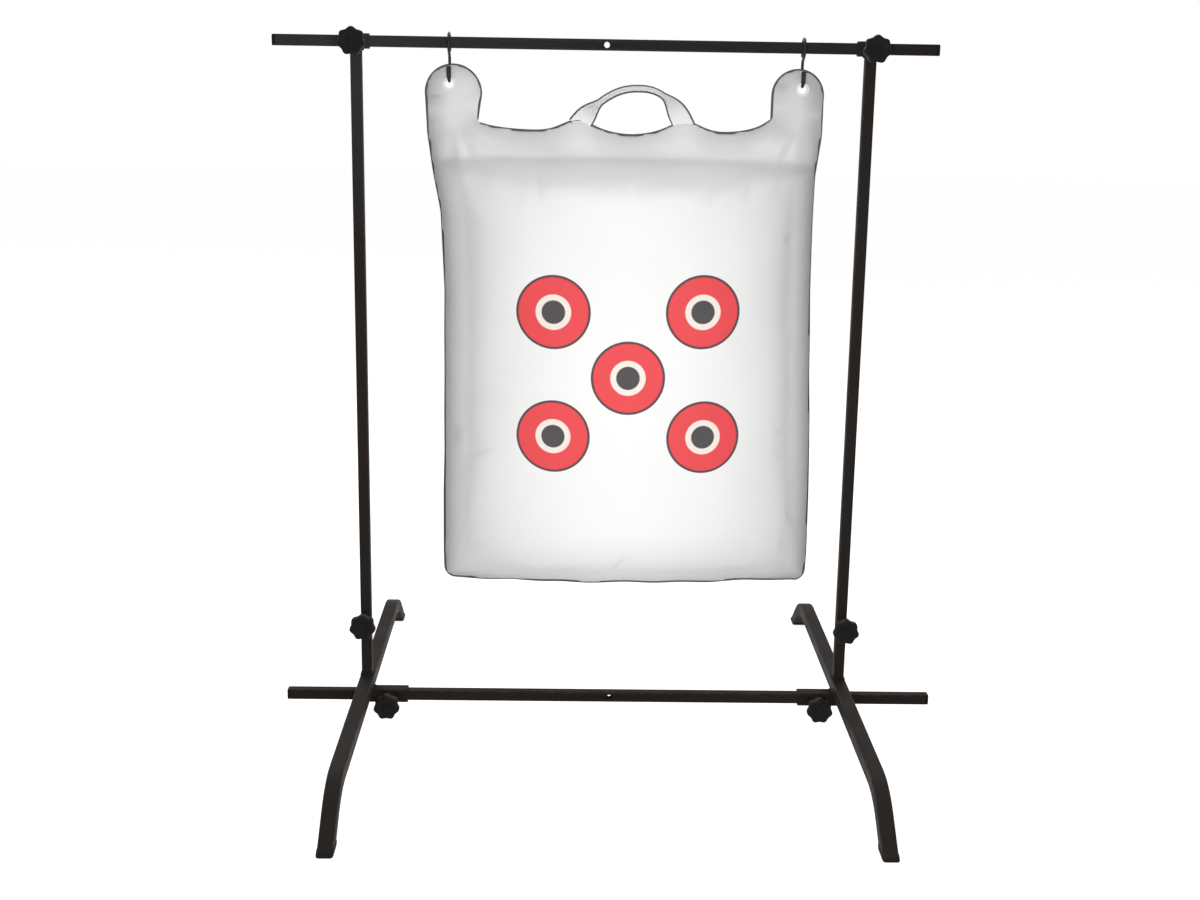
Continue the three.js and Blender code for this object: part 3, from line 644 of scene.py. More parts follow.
def weld_nut(name, back, body, node, thickness):
    """Nut along -Y from its back face. Its outside is a hexagon whose corners are cut by a cone at
    both faces: the radius at each angle is the smaller of the hexagon's and the cone's."""
    flat_turn = (full_turn(nut_sides) + np.pi / 6) % (np.pi / 3) - np.pi / 6
    hexagon = nut_across / 2 / np.cos(flat_turn)
    chamfer = nut_across / np.sqrt(3) - nut_across / 2
    places = np.array([0, 0.1, 0.2, 0.8, 0.9, 1.0, 1.0, 0.0])
    cone = nut_across / 2 + chamfer * np.array([0, 0.6, 1, 1, 0.6, 0])
    radii = np.minimum(hexagon[None], cone[:, None])
    bore = np.full((2, nut_sides), nut_bore_radius)
    rings = turned_rings(back, np.concatenate([radii, bore]), places * thickness)
    nut = add_skin(name, rings, black_paint, looped=True, sharp=25.0)
    settle(nut, body, "frame_paint", node)


clamps = {}
for word in ("left", "right"):
    for kind, carrier in (("base", "base"), ("post", "base"), ("top", "upright")):
        node = f"weld_nut_{kind}_{word}"
        low, high, (x, _, z) = span(node)
        weld_nut(f"{node}_hex", (x, high.y, z), f"{word}_{carrier}", node, high.y - low.y)
        ring = [(x + nut_weld_reach * np.sin(turn), high.y - nut_weld_lift, z + nut_weld_reach * np.cos(turn))
                for turn in np.linspace(0, 2 * np.pi, nut_weld_points)]
        weld_bead(f"nut_weld_{kind}_{word}", ring, f"{word}_{carrier}", True, 41 + len(clamps))
        clamps[f"{kind}_{word}"] = (x, z)

# Knob studs. M8 threaded steel, dark zinc plated, moulded into the grips. The thread is a real
# helix of 1.25 mm pitch that fades out at the tip.
thread_pitch = 0.00125
thread_depth = 0.0006
stud_radius = 0.004
stud_sides = 32
stud_tip_bevel = 0.001
zinc_tones = (0.07, 0.066, 0.06, 1), (0.2, 0.19, 0.17, 1)
dark_zinc, _, shader, _ = mottled("dark_zinc_plating", 220.0, 4.0, zinc_tones, (0.35, 0.5))
shader.inputs["Metallic"].default_value = 0.9


def threaded_stud(name, tip, length):
    """Stud along -Y from its tip. The radius at each place is the stud's less the thread's depth
    times a rounded saw wave of the distance along plus the turn, and the tip is bevelled."""
    places = np.arange(0, length + thread_pitch / 12, thread_pitch / 6)
    places = places * length / places[-1]
    phase = 2 * np.pi * places[:, None] / thread_pitch + full_turn(stud_sides)
    radius = stud_radius - thread_depth * (1 - np.cos(phase)) / 2
    radius = np.minimum(radius, stud_radius - stud_tip_bevel + places[:, None])
    return add_skin(name, turned_rings(tip, radius, places), dark_zinc, sharp=60.0)


for place, (x, z) in clamps.items():
    kind, word = place.split("_")
    low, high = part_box(f"knob_stud_{place}")
    stud = threaded_stud(f"knob_stud_{place}_thread", (x, high.y, z), high.y - low.y)
    settle(stud, f"{kind}_knob_{word}", "dark_zinc", f"knob_stud_{place}")

# Knob grips. Seven-lobed hand knobs moulded in black plastic on the studs: a round hub behind, a
# lobed head, and a shallow dish in the face with a small pip from the mould's gate.
knob_lobes = 7
knob_radius = 0.0236
knob_lobe_depth = 0.0030
knob_hub_radius = 0.010
knob_hub_length = 0.015
knob_edge_round = 0.0045
knob_crown = 0.0015
knob_sides = knob_lobes * 14
knob_bore_radius = 0.0043
knob_bore_gap = 0.0003
knob_root = 0.7
knob_dish_inner = 0.007
knob_dish_depth = 0.0007


def knob_grip(name, back, length, bore_depth):
    """Knob along -Y from its back face. Each ring has a radius, a lobe depth and a place: at each
    angle the radius is less by the lobe depth times a raised cosine with seven waves round."""
    head_end = length - knob_crown
    rim = knob_radius - knob_edge_round
    edge = [(rim + knob_edge_round * np.sin(a), knob_lobe_depth * (knob_root + (1 - knob_root) * np.sin(a)),
             knob_edge_round * (1 - np.cos(a))) for a in np.linspace(0, np.pi / 2, 8)]
    stations = [
        (knob_bore_radius, 0, bore_depth),
        (knob_bore_radius, 0, 0.0006),
        (knob_bore_radius + 0.0006, 0, 0),
        (knob_hub_radius - 0.001, 0, 0),
        (knob_hub_radius, 0, 0.001),
        (knob_hub_radius, 0, knob_hub_length - 0.002),
        (knob_hub_radius + 0.0006, 0, knob_hub_length - 0.0006),
        (knob_hub_radius + 0.002, knob_lobe_depth * 0.15, knob_hub_length),
    ]
    stations += [(out, depth, knob_hub_length + drop) for out, depth, drop in edge]
    stations += [(out, depth, head_end - drop) for out, depth, drop in edge[::-1]]
    stations += [(rim - s * (rim - knob_dish_inner), knob_lobe_depth * knob_root * (1 - s),
                  head_end - knob_dish_depth * np.sin(s * np.pi / 2)) for s in np.linspace(0, 1, 7)[1:]]
    stations += [(0.0066, 0, head_end - 0.0002), (0.006, 0, length - 0.0003), (0.0052, 0, length),
                 (0.002, 0, length)]
    radius, depth, places = (np.array(column)[:, None] for column in zip(*stations))
    reach = radius - depth * (1 - np.cos(knob_lobes * full_turn(knob_sides))) / 2
    return add_skin(name, turned_rings(back, reach, places[:, 0]), black_plastic, sharp=40.0)


for place, (x, z) in clamps.items():
    kind, word = place.split("_")
    low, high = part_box(f"knob_grip_{place}")
    bore_depth = high.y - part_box(f"knob_stud_{place}")[0].y + knob_bore_gap
    grip = knob_grip(f"knob_grip_{place}_moulding", (x, high.y, z), high.y - low.y, bore_depth)
    settle(grip, f"{kind}_knob_{word}", "black_plastic", f"knob_grip_{place}")

# S-hooks. Bent from 5 mm wire and painted black: a round top loop over the bar, a spine that crosses
# under the bar and drops behind the ear, and a lower loop whose tail, dipped thicker, comes up in front.
wire_radius = 0.0025
hook_under_angle = np.radians(60.0)
hook_spine_bend = 0.008
hook_eye_radius = 0.010
hook_tail = 0.016
wire_sides = 20
wire_cap_steps = 6
dip_swell = 0.50
dip_points = 8
dip_lead = 3
hook_tones = (0.006, 0.0055, 0.0055, 1), (0.018, 0.0165, 0.0155, 1)
hook_black = mottled("hook_paint", 120.0, 5.0, hook_tones, (0.30, 0.46), 0.2)[0]


def ramp(value, start, length):
    """0 up to the start, straight up to 1 over the length, and 1 past it."""
    return np.clip((value - start) / length, 0, 1)


def eased(share):
    """Smooth step of a share from 0 to 1."""
    return share ** 2 * (3 - 2 * share)


def arc(across, up, radius, start, stop, count):
    """Points of a circle about a middle, from one angle in radians to another."""
    angle = np.linspace(start, stop, count)
    return np.stack([across + radius * np.cos(angle), up + radius * np.sin(angle)], -1)


def hook_line(bar_radius, eye_drop, bend_drop):
    """Centre line of a hook in the YZ plane about the bar's axis: tail, top loop, crossing spine,
    bend, lower loop and its tail."""
    return np.concatenate([
        [(bar_radius, -hook_tail)],
        arc(0, 0, bar_radius, 0, np.pi + hook_under_angle, 40),
        arc(hook_eye_radius - hook_spine_bend, -bend_drop, hook_spine_bend, hook_under_angle, 0, 10),
        arc(0, -eye_drop, hook_eye_radius, 0, -np.pi, 28),
        [(-hook_eye_radius, hook_tail - eye_drop)],
    ])


def wire_rings(x, axis_z, line, radius):
    """Round wire along the line in the plane X = x, with both ends rounded off as half spheres."""
    ahead = np.gradient(line, axis=0)
    ahead /= np.linalg.norm(ahead, axis=1)[:, None]
    cap = np.linspace(np.pi / 2, 0, wire_cap_steps)
    inner = np.arange(1, len(line) - 1)
    scale = np.concatenate([np.cos(cap), inner * 0 + 1, np.cos(cap[::-1])])
    shift = np.concatenate([1 - np.sin(cap), inner * 0, np.sin(cap[::-1]) - 1]) * radius
    index = np.concatenate([cap * 0, inner, cap * 0 + len(line) - 1]).astype(int)
    centre = line[index] + ahead[index] * shift[:, None]
    thick = radius * (1 + dip_swell * eased(ramp(index, len(line) - dip_points, dip_lead)))
    circle = (np.maximum(scale, 0.02) * thick)[:, None, None] * circle_points(wire_sides)
    origins = np.column_stack([np.full(len(centre), x), centre[:, 0], centre[:, 1] + axis_z])
    normal = np.column_stack([np.zeros(len(index)), -ahead[index, 1], ahead[index, 0]])
    return carry(circle, origins, (1, 0, 0), normal)


bar_z = span("top_bar")[2][2]
hooks = {}
for word in ("left", "right"):
    low, high, (x, _, _) = span(f"s_hook_{word}")
    bar_radius = high.z - bar_z - wire_radius
    spine_start = -bar_radius * np.cos(hook_under_angle)
    spine_end = hook_eye_radius - hook_spine_bend * (1 - np.cos(hook_under_angle))
    bend_drop = ((bar_radius + hook_spine_bend) * np.sin(hook_under_angle)
                 + (spine_end - spine_start) / np.tan(hook_under_angle))
    eye_drop = bar_z - low.z - hook_eye_radius - wire_radius
    line = hook_line(bar_radius, eye_drop, bend_drop)
    hook = add_skin(f"s_hook_{word}_wire", wire_rings(x, bar_z, line, wire_radius), hook_black, sharp=60.0)
    settle(hook, f"hook_{word}", "hook_wire", f"s_hook_{word}")
    hooks[word] = (x, bar_z - eye_drop)

# Bag. A pillow of white coated cloth stuffed hard with fibre, with a flat sewn header and two ears at
# its top, and bullseyes printed on its front. It hangs a little off square and leans to the right. The
# header is shallowest between the handle's feet, and the hem leaves a flat lip at the bottom.
bag_low, bag_high, (_, eyelet_y, _) = span("target_bag")
eyelet_z = span("eyelet_left")[2][2]
bag_hang_x = (hooks["left"][0] + hooks["right"][0]) / 2
ear_height = 0.109
ear_top = bag_high.z
bag_top = ear_top - ear_height
bag_bottom = bag_low.z
relief_room = 0.003
bag_half_depth = (bag_high.y - bag_low.y) / 2 - relief_room
seam_half = 0.002
side_reach = [(0, 0.311, 0.3395), (0.07, 0.3125, 0.3415), (0.21, 0.312, 0.3405), (0.30, 0.310, 0.3385),
              (0.39, 0.310, 0.336), (0.48, 0.309, 0.332), (0.57, 0.309, 0.330), (0.66, 0.308, 0.327),
              (0.745, 0.311, 0.326), (0.83, 0.314, 0.3255), (0.915, 0.327, 0.3265), (1, 0.337, 0.336)]
bag_corner = 0.020
bag_sag = 0.007
header_depth = 0.055
header_shares = (0.08, 0.26)
header_middle_spread = 0.12
header_power = 0.8
shoulder_depth = 0.056
shoulder_power = 3.0
bottom_round = 0.130
bottom_lip = 0.005
bottom_power = 1.7
handle_shift = 0.010
handle_centre = bag_hang_x + handle_shift
handle_half_span = 0.092
crest_height, crest_spread = 0.019, 0.036
crest_dip, crest_dip_spread = 0.004, 0.035
ears = {
    "left": {"side": -1, "radius": 0.0470, "shift": 0.0065, "neck": 0.007, "rise": 0.014, "fade": 0.039},
    "right": {"side": 1, "radius": 0.0435, "shift": 0.0070, "neck": 0.0, "rise": 0.026, "fade": 0.029},
}
hem_rises = [(0.0035, 0.26, 0.07), (-0.002, -0.057, 0.035)]
hem_ripple, hem_ripple_turns = 0.0008, 61
gather_height, gather_waves, gather_drop, gather_spread = 0.0018, (74, 31), 0.02, 0.03
foot_swell, foot_swell_share, foot_swell_drop = 0.0045, 0.86, 0.020
foot_swell_width, foot_swell_length = 0.034, 0.022
pucker_height, pucker_waves, pucker_fade = 0.0016, (105, 23), 0.10
lump_height, slant_height = 0.0014, 0.0009
pull_height, pull_waves, pull_reach, pull_spread, pull_aim, pull_fan = 0.0030, 13, 0.065, 0.040, 0.35, 0.7
groove_depth, groove_inset, groove_width, groove_rise, groove_length = 0.0036, 0.004, 0.006, 0.015, 0.045
curl_start, curl_width, curl_back, curl_drop, curl_fade = 0.308, 0.030, 0.007, 0.11, 0.12
ear_wave, ear_wave_turns = 0.0012, 70
remesh_size = 0.0055
remesh_loss = 0.0005
swell_cap = 0.008
swell_frames = 20
seam_pressed = 0.8
edge_fold_share = 0.25
# Painted shade on the cloth: its least and added strength along the seams, its shares low, at the top and at
# the upper corners, a wide faint shade further in, the whole right ear, and how far each reaches from the
# seam.
painted_shade_least, painted_shade_gain, painted_shade_low, painted_shade_top, painted_shade_corner = 0.20, 0.62, 0.6, 0.7, 0.4
painted_shade_cast, painted_shade_right_ear = 0.34, 0.2
painted_shade_reach, painted_shade_corner_reach, painted_shade_cast_reach = 0.018, 0.014, 0.11
scuffs = [(-0.3115, 1.1245, 0.008, 0.0018, 0.5), (-0.3150, 1.1155, 0.010, 0.0018, 0.35),
          (0.2765, 1.1490, 0.010, 0.008, 0.35), (-0.2765, 0.5475, 0.006, 0.018, 0.3),
          (0.2900, 0.9000, 0.007, 0.009, 0.3), (0.2985, 0.3620, 0.006, 0.030, 0.15)]


def bell(value, middle, spread):
    """Bell curve of height 1."""
    return np.exp(-((value - middle) / spread) ** 2)


def blurred(values, reach, width):
    """Values in a row, each averaged with its neighbours by a bell curve cut off at the reach."""
    share = bell(np.linspace(-width, width, 2 * reach + 1), 0, 1)
    return np.convolve(np.pad(values, reach, mode="edge"), share / share.sum(), "valid")


def bag_sides(z):
    """The bag's left and right edge at a height: each reach from the hanging middle is joined by
    straight stretches over the bag's height and then blurred along it by a bell curve."""
    rise = np.linspace(-0.1, 1.1, 241)
    at, left, right = np.array(side_reach).T
    share = (z - bag_bottom) / (bag_top - bag_bottom)
    return [bag_hang_x + np.interp(share, rise, blurred(np.interp(rise, at, reach), 4, 2))
            for reach in (-left, right)]


def bag_centre(z):
    """Middle of the bag at a height."""
    return sum(bag_sides(z)) / 2


def bag_half_at(z):
    """Half width of the bag at a height."""
    left, right = bag_sides(z)
    return (right - left) / 2


def ear_edge(word):
    """Middle of an ear, and the place of its inner edge at its root."""
    ear = ears[word]
    middle = hooks[word][0] - ear["side"] * ear["shift"]
    return middle, middle - ear["side"] * (ear["radius"] - ear["neck"])


def crest(x):
    """Rise of the top edge at x: a bell curve where each foot of the handle is sewn in, a dip between
    them, and a rise towards each ear that fades as an exponential."""
    feet = sum(bell(x, handle_centre + side * handle_half_span, crest_spread) for side in (-1, 1))
    rise = crest_height * feet - crest_dip * bell(x, handle_centre, crest_dip_spread)
    return rise + sum(ear["rise"] * np.exp(-np.abs(x - ear_edge(word)[1]) / ear["fade"])
                      for word, ear in ears.items())


def hem(x):
    """Rise of the bottom edge at x: it sags in the middle as a parabola, and lies a little unevenly."""
    across = (x - bag_centre(bag_bottom)) / bag_half_at(bag_bottom)
    lift = sum(height * bell(x, place, spread) for height, place, spread in hem_rises)
    return bag_sag * across ** 2 + lift + hem_ripple * np.sin(x * hem_ripple_turns)


def bag_outline():
    """Outline of the sewn sheets, counter-clockwise: bottom, right side, right ear, top edge, left
    ear, left side. Each ear is a half circle on a neck, and the side's line runs up into it."""
    low = bag_bottom + bag_corner + bag_sag
    left_low, right_low = bag_sides(low)
    bottom_x = np.linspace(left_low + bag_corner, right_low - bag_corner, 90)
    (left_ear, left_neck), (right_ear, right_neck) = ear_edge("left"), ear_edge("right")
    left_radius, right_radius = ears["left"]["radius"], ears["right"]["radius"]
    side = np.linspace(low, bag_top + 0.010, 130)
    top_x = np.linspace(right_neck, left_neck, 110)
    return np.concatenate([
        np.stack([bottom_x, bag_bottom + hem(bottom_x)], -1),
        arc(right_low - bag_corner, low, bag_corner, np.radians(-75), 0, 8),
        np.stack([bag_sides(side)[1], side], -1)[1:],
        arc(right_ear, ear_top - right_radius, right_radius, np.radians(-8), np.pi, 36),
        np.stack([top_x, bag_top + crest(top_x)], -1),
        arc(left_ear, ear_top - left_radius, left_radius, 0, np.radians(188), 36),
        np.stack([bag_sides(side)[0], side], -1)[::-1][:-1],
        arc(left_low + bag_corner, low, bag_corner, np.pi, np.radians(255), 8),
    ])


def bag_height_at(x, z):
    """Height above the bottom edge once the edges' rises are taken out: the top edge's rise fades to
    nothing over the header, and the bottom edge's over the rounding of the bottom."""
    full_height = bag_top - bag_bottom
    height = z - bag_bottom
    low_height = (height - hem(x)) / (1 - hem(x) / bottom_round)
    header_low = full_height - header_depth
    high_height = header_low + (height - header_low) * header_depth / (header_depth + crest(x))
    return np.where(height < bottom_round, low_height, np.where(height > header_low, high_height, height))


def rounding(share, power):
    """Rise from 0 to 1 along a share, as a quarter of a circle does at power 2."""
    return (1 - (1 - share) ** power) ** (1 / power)


def bag_depth_at(x, z):
    """Half thickness at a place: the bag's half depth times a side share, a top share and a bottom
    share. Side: an ellipse across the bag. Top: a shallow slope over the header, then a steep round
    shoulder, smoothed into each other. Bottom: a soft rounding."""
    drop = np.linspace(-0.05, 0.25, 601)
    header = ramp(drop, 0, header_depth) ** header_power
    shoulder = rounding(ramp(drop, header_depth, shoulder_depth), shoulder_power)
    header, shoulder = blurred(header, 30, 2.5), blurred(shoulder, 30, 2.5)
    height = bag_height_at(x, z)
    below = bag_top - bag_bottom - height
    middle_share, end_share = header_shares
    share = end_share + (middle_share - end_share) * bell(x, handle_centre, header_middle_spread)
    top = share * np.interp(below, drop, header) + (1 - share) * np.interp(below, drop, shoulder)
    bottom = rounding(ramp(height, bottom_lip, bottom_round), bottom_power)
    across = np.clip(np.abs(x - bag_centre(z)) / bag_half_at(z), 0, 1)
    return seam_half + (bag_half_depth - seam_half) * np.sqrt(1 - across ** 2) * top * bottom


def wavy(value, waves, sway):
    """Sine whose waves are drawn together and apart by a slower one."""
    return np.sin(value * waves[0] + sway * np.sin(value * waves[1]))


def bag_relief(x, z):
    """Folds of the cloth: gathers under the top edge, swells at the handle's feet, puckers along the
    side seams, a slow unevenness of the filling, and from each ear's root a groove and pulls that fan
    out: sines of the angle about it under a bell of the distance."""
    drop = bag_top + crest(x) - z
    across = np.abs(x - bag_centre(z)) / bag_half_at(z)
    relief = gather_height * wavy(x, gather_waves, 1.2) * bell(drop, gather_drop, gather_spread)
    for side in (-1, 1):
        foot_x = handle_centre + side * handle_half_span * foot_swell_share
        swell = bell(x, foot_x, foot_swell_width) * bell(drop, foot_swell_drop, foot_swell_length)
        relief += foot_swell * swell
    relief += pucker_height * wavy(z, pucker_waves, 2) * np.exp((across - 1) / pucker_fade) * (drop > 0)
    relief += lump_height * np.sin(x * 17 + 1.1) * np.sin(z * 13 + 0.4)
    relief += slant_height * np.sin(x * 29 - z * 21)
    for word, ear in ears.items():
        reach_x = (x - hooks[word][0]) * ear["side"]
        reach_z = bag_top + 0.03 - z
        angle = np.arctan2(-reach_x, reach_z)
        pull = np.sin(angle * pull_waves + 0.8 * ear["side"]) * bell(angle, pull_aim, pull_fan)
        relief += pull_height * pull * bell(np.hypot(reach_x, reach_z), pull_reach, pull_spread)
        groove = bell(reach_x, -groove_inset, groove_width) * bell(z, bag_top + groove_rise, groove_length)
        relief -= groove_depth * groove
    return relief


def bag_curl(x, z):
    """How far the cloth's middle is carried back from the hooks' plane: the outer edges of the ears
    and of the header turn back as a square of the distance past a line 30 mm inside them, and the ears
    wave slightly. It fades to nothing down the header."""
    past = np.clip((np.abs(x - bag_centre(z)) - curl_start) / curl_width, 0, 1.2)
    fade = eased(ramp(z, bag_top - curl_drop, curl_fade))
    wave = ear_wave * np.sin(z * ear_wave_turns + np.sign(x)) * ramp(z, bag_top, 0.05)
    return fade * curl_back * past ** 2 + wave


bullseye_places = [(-0.108, 0.779), (0.142, 0.7822), (0.0184, 0.6702), (-0.1068, 0.5662), (0.1478, 0.5676)]
cloth_white = (0.90, 0.895, 0.89, 1)
cloth_smudge = (0.84, 0.83, 0.81, 1)
# Grey that the painted shade and the scuffs draw the cloth towards.
cloth_shade_and_scuff_grey = (0.52, 0.51, 0.51, 1)
print_dark = (0.075, 0.070, 0.072, 1)
print_cream = (0.88, 0.80, 0.74, 1)
print_red = (0.80, 0.075, 0.085, 1)
print_outline = (0.085, 0.055, 0.058, 1)
ring_stops = [(0.0192, print_dark), (0.0205, print_cream), (0.0290, print_cream), (0.0305, print_red),
              (0.0575, print_red), (0.0595, print_outline), (0.0620, print_outline), (0.0632, cloth_white)]
ramp_reach = 0.08
print_reach = 0.0626
print_front = -0.02


def distance_to(tree, flat, x, z):
    """Distance from a place, both flattened onto the XZ plane."""
    return add_node(tree, "VectorMath", {0: flat, 1: (x, 0, z)}, operation="DISTANCE")[1]


def threads(tree, place, way):
    """Waves of the weave's threads across one axis."""
    return add_node(tree, "TexWave", {"Vector": place, "Scale": 160.0, "Distortion": 0.3},
                    wave_type="BANDS", bands_direction=way)[1]


def printed_cloth():
    """White cloth under a matt coating, greyed by painted shade and scuffs from its attribute, with five
    bullseyes on its front.
    A ramp turns the distance to the nearest bullseye's middle into rings. The bump is two crossing
    sets of threads over a slow crumple."""
    material, tree, shader, place = new_material("printed_white_cloth")
    axes = add_node(tree, "SeparateXYZ", {0: place})
    flat = add_node(tree, "CombineXYZ", {0: axes[0], 2: axes[2]})[0]
    nearest = distance_to(tree, flat, *bullseye_places[0])
    for x, z in bullseye_places[1:]:
        nearest = combine(tree, nearest, distance_to(tree, flat, x, z), "MINIMUM")
    rings = add_node(tree, "ValToRGB", {0: drawn_out(tree, nearest, 0.0, ramp_reach)})[0]
    stops = rings.node.color_ramp.elements
    for number, (radius, tone) in enumerate(ring_stops):
        stop = stops[number] if number < 2 else stops.new(radius / ramp_reach)
        stop.position = radius / ramp_reach
        stop.color = tone
    smudge = drawn_out(tree, noise(tree, place, 9.0, 7.0), 0.55, 0.85, 0.0, 0.35)
    # Painted shade and scuffs, from the bag's attribute.
    shade_and_scuffs = add_node(tree, "Attribute", {}, attribute_name="seam_shade_and_scuffs")["Fac"]
    shaded_and_scuffed = blend(tree, shade_and_scuffs, blend(tree, smudge, cloth_white, cloth_smudge), cloth_shade_and_scuff_grey)
    front = combine(tree, axes[1], print_front, "LESS_THAN")
    near = combine(tree, nearest, print_reach, "LESS_THAN")
    inked = combine(tree, front, near, "MULTIPLY")
    weave = combine(tree, threads(tree, place, "X"), threads(tree, place, "Z"), "ADD")
    crumple = noise(tree, place, 26.0, 5.0)
    woven = bumped(tree, weave, 0.22, 0.0003)
    fill(tree, shader, {
        "Base Color": blend(tree, inked, shaded_and_scuffed, rings),
        "Roughness": drawn_out(tree, crumple, 0.3, 0.7, 0.62, 0.74),
        "Normal": bumped(tree, crumple, 0.10, 0.003, Normal=woven),
        "Sheen Weight": 0.12,
        "Specular IOR Level": 0.25})
    return material


def mesh_points(mesh):
    """Vertices of a mesh as an array of rows."""
    points = np.empty(len(mesh.vertices) * 3)
    mesh.vertices.foreach_get("co", points)
    return points.reshape(-1, 3)


cloth_hole_radius = 0.0105
printed_white = printed_cloth()
seam = bag_outline()
ahead = directions(seam, True)
outline = seam + remesh_loss * np.stack([ahead[:, 1], -ahead[:, 0]], -1)
sheets = [(0, -remesh_size, 0), (0, remesh_size, 0)]
bag = add_skin("stuffed_bag", carry(outline, sheets, (1, 0, 0), (0, 0, 1)), printed_white)
for x, _ in hooks.values():
    drill(bag, (x, eyelet_y, eyelet_z), cloth_hole_radius, 4 * remesh_size)
remesh = bag.modifiers.new("remesh", "REMESH")
remesh.mode = "VOXEL"
remesh.voxel_size = remesh_size
applied(bag)
flat_points = mesh_points(bag.data)
flat_x, flat_y, flat_z = flat_points.T
half = bag_depth_at(flat_x, flat_z)
fill_share = ramp(half, seam_half, 0.02)
folded = half + bag_relief(flat_x, flat_z) * np.clip(fill_share + edge_fold_share, 0, 1)
lifted = flat_y / remesh_size * np.maximum(folded, seam_half * seam_pressed)
stuffed = np.column_stack([flat_x, eyelet_y + bag_curl(flat_x, flat_z) + lifted, flat_z])
from_seam = np.sqrt(((flat_points[:, None, ::2] - seam[None]) ** 2).sum(-1).min(1))

# Painted shade on the bag: grey along the seams, most towards the sides and ears and some along the bottom
# and the top, a faint painted shade further in, painted shade over the right ear, and a few light scuffs on
# the front.
aside = np.abs(flat_x - bag_hang_x)
outward = ramp(aside, 0.25, 0.06)
low_share = 1 - ramp(flat_z, bag_bottom, 0.06)
high_share = ramp(flat_z, bag_top - 0.10, 0.08)
top_share = high_share * (1 - bell(np.abs(flat_x - handle_centre), handle_half_span, 0.04))
corner_share = outward * high_share
strength = painted_shade_least + painted_shade_gain * np.max([outward, painted_shade_low * low_share, painted_shade_top * top_share], axis=0)
reach = painted_shade_reach + painted_shade_corner_reach * corner_share
painted_shade_and_scuff_share = (strength + painted_shade_corner * corner_share) * np.exp(-from_seam / reach)
# A wide faint painted shade further in from the sides, below the top.
cast = painted_shade_cast * ramp(aside, 0.02, 0.20) * (1 - high_share)
painted_shade_and_scuff_share += cast * np.exp(-from_seam / painted_shade_cast_reach)
# Painted shade over the whole right ear.
painted_shade_and_scuff_share += painted_shade_right_ear * ramp(flat_z, bag_top - 0.02, 0.03) * (flat_x > 0.2)
for x, z, reach_x, reach_z, mark in scuffs:
    painted_shade_and_scuff_share += mark * bell(flat_x, x, reach_x) * bell(flat_z, z, reach_z) * (flat_y < 0)
# The attribute carries the painted shade and the scuffs to the cloth's material.
seam_shade_and_scuffs = bag.data.attributes.new("seam_shade_and_scuffs", "FLOAT", "POINT")
seam_shade_and_scuffs.data.foreach_set("value", painted_shade_and_scuff_share.astype(np.float32))
bag.data.vertices.foreach_set("co", stuffed.ravel())
bag.data.update()

cloth = bag.modifiers.new("cloth", "CLOTH")
cloth.settings.use_pressure = True
cloth.settings.uniform_pressure_force = 4.0
cloth.settings.effector_weights.gravity = 0
cloth.settings.quality = 5
for number in range(1, swell_frames + 1):
    scene.frame_set(number)
applied(bag)
scene.frame_set(1)
moved = mesh_points(bag.data) - stuffed
length = np.linalg.norm(moved, axis=1)
held = np.minimum(length, swell_cap) / np.maximum(length, 1e-9)
in_plane = fill_share * ramp(from_seam, 0.006, 0.030) ** 2
held = held[:, None] * np.stack([in_plane, fill_share * ramp(from_seam, 0, 0.012), in_plane], -1)
bag.data.vertices.foreach_set("co", (stuffed + moved * held).ravel())
bag.data.update()
smooth = bag.modifiers.new("smooth", "SUBSURF")
smooth.levels = smooth.render_levels = 1
applied(bag)
bag.data.polygons.foreach_set("use_smooth", np.ones(len(bag.data.polygons), bool))
settle(bag, "target", "bag_cloth", "target_bag")

# Seam binding. A thin dark grey cord of twisted thread, sewn into the seam all round the bag and its
# ears.
binding_radius = 0.0020
thread_sides = 8
binding_tones = (0.055, 0.055, 0.058, 1), (0.12, 0.12, 0.123, 1)
binding_grey, tree, shader, place = new_material("seam_binding")
strand = add_node(tree, "TexWave", {"Vector": place, "Scale": 320.0, "Distortion": 1.0},
                  bands_direction="DIAGONAL")[1]
fill(tree, shader, {
    "Base Color": blend(tree, strand, *binding_tones),
    "Normal": bumped(tree, strand, 0.4, 0.0003),
    "Roughness": 0.85})


def thread_along(name, path, radius, looped):
    """Round thread along a path: at each point a circle square to the path, its first direction
    being the path's direction turned square to Y where it can be."""
    ahead = directions(path, looped)
    side = np.cross(ahead, (0, 1.0, 0))
    side /= np.linalg.norm(side, axis=1)[:, None]
    rings = carry(radius * circle_points(thread_sides), path, side, np.cross(ahead, side))
    return add_skin(name, rings, binding_grey, looped=looped, sharp=80.0)


seam_path = np.column_stack([seam[:, 0], eyelet_y + bag_curl(seam[:, 0], seam[:, 1]), seam[:, 1]])
binding = thread_along("bag_seam_binding", seam_path, binding_radius, True)
settle(binding, "target", "bag_cloth")

# Eyelets. White moulded rings clamped through the ears, two flanges on a short barrel, that the
# hooks' lower loops pass through.
eyelet_hole_radius = 0.0075
eyelet_rim = 0.0045
eyelet_barrel_wall = 0.0016
eyelet_mouth = 0.001
eyelet_edge = 0.0004
eyelet_sides = 48
eyelet_tones = (0.86, 0.855, 0.84, 1), (0.80, 0.79, 0.765, 1)
white_moulding = mottled("white_moulded_plastic", 180.0, 4.0, eyelet_tones, (0.32, 0.45))[0]


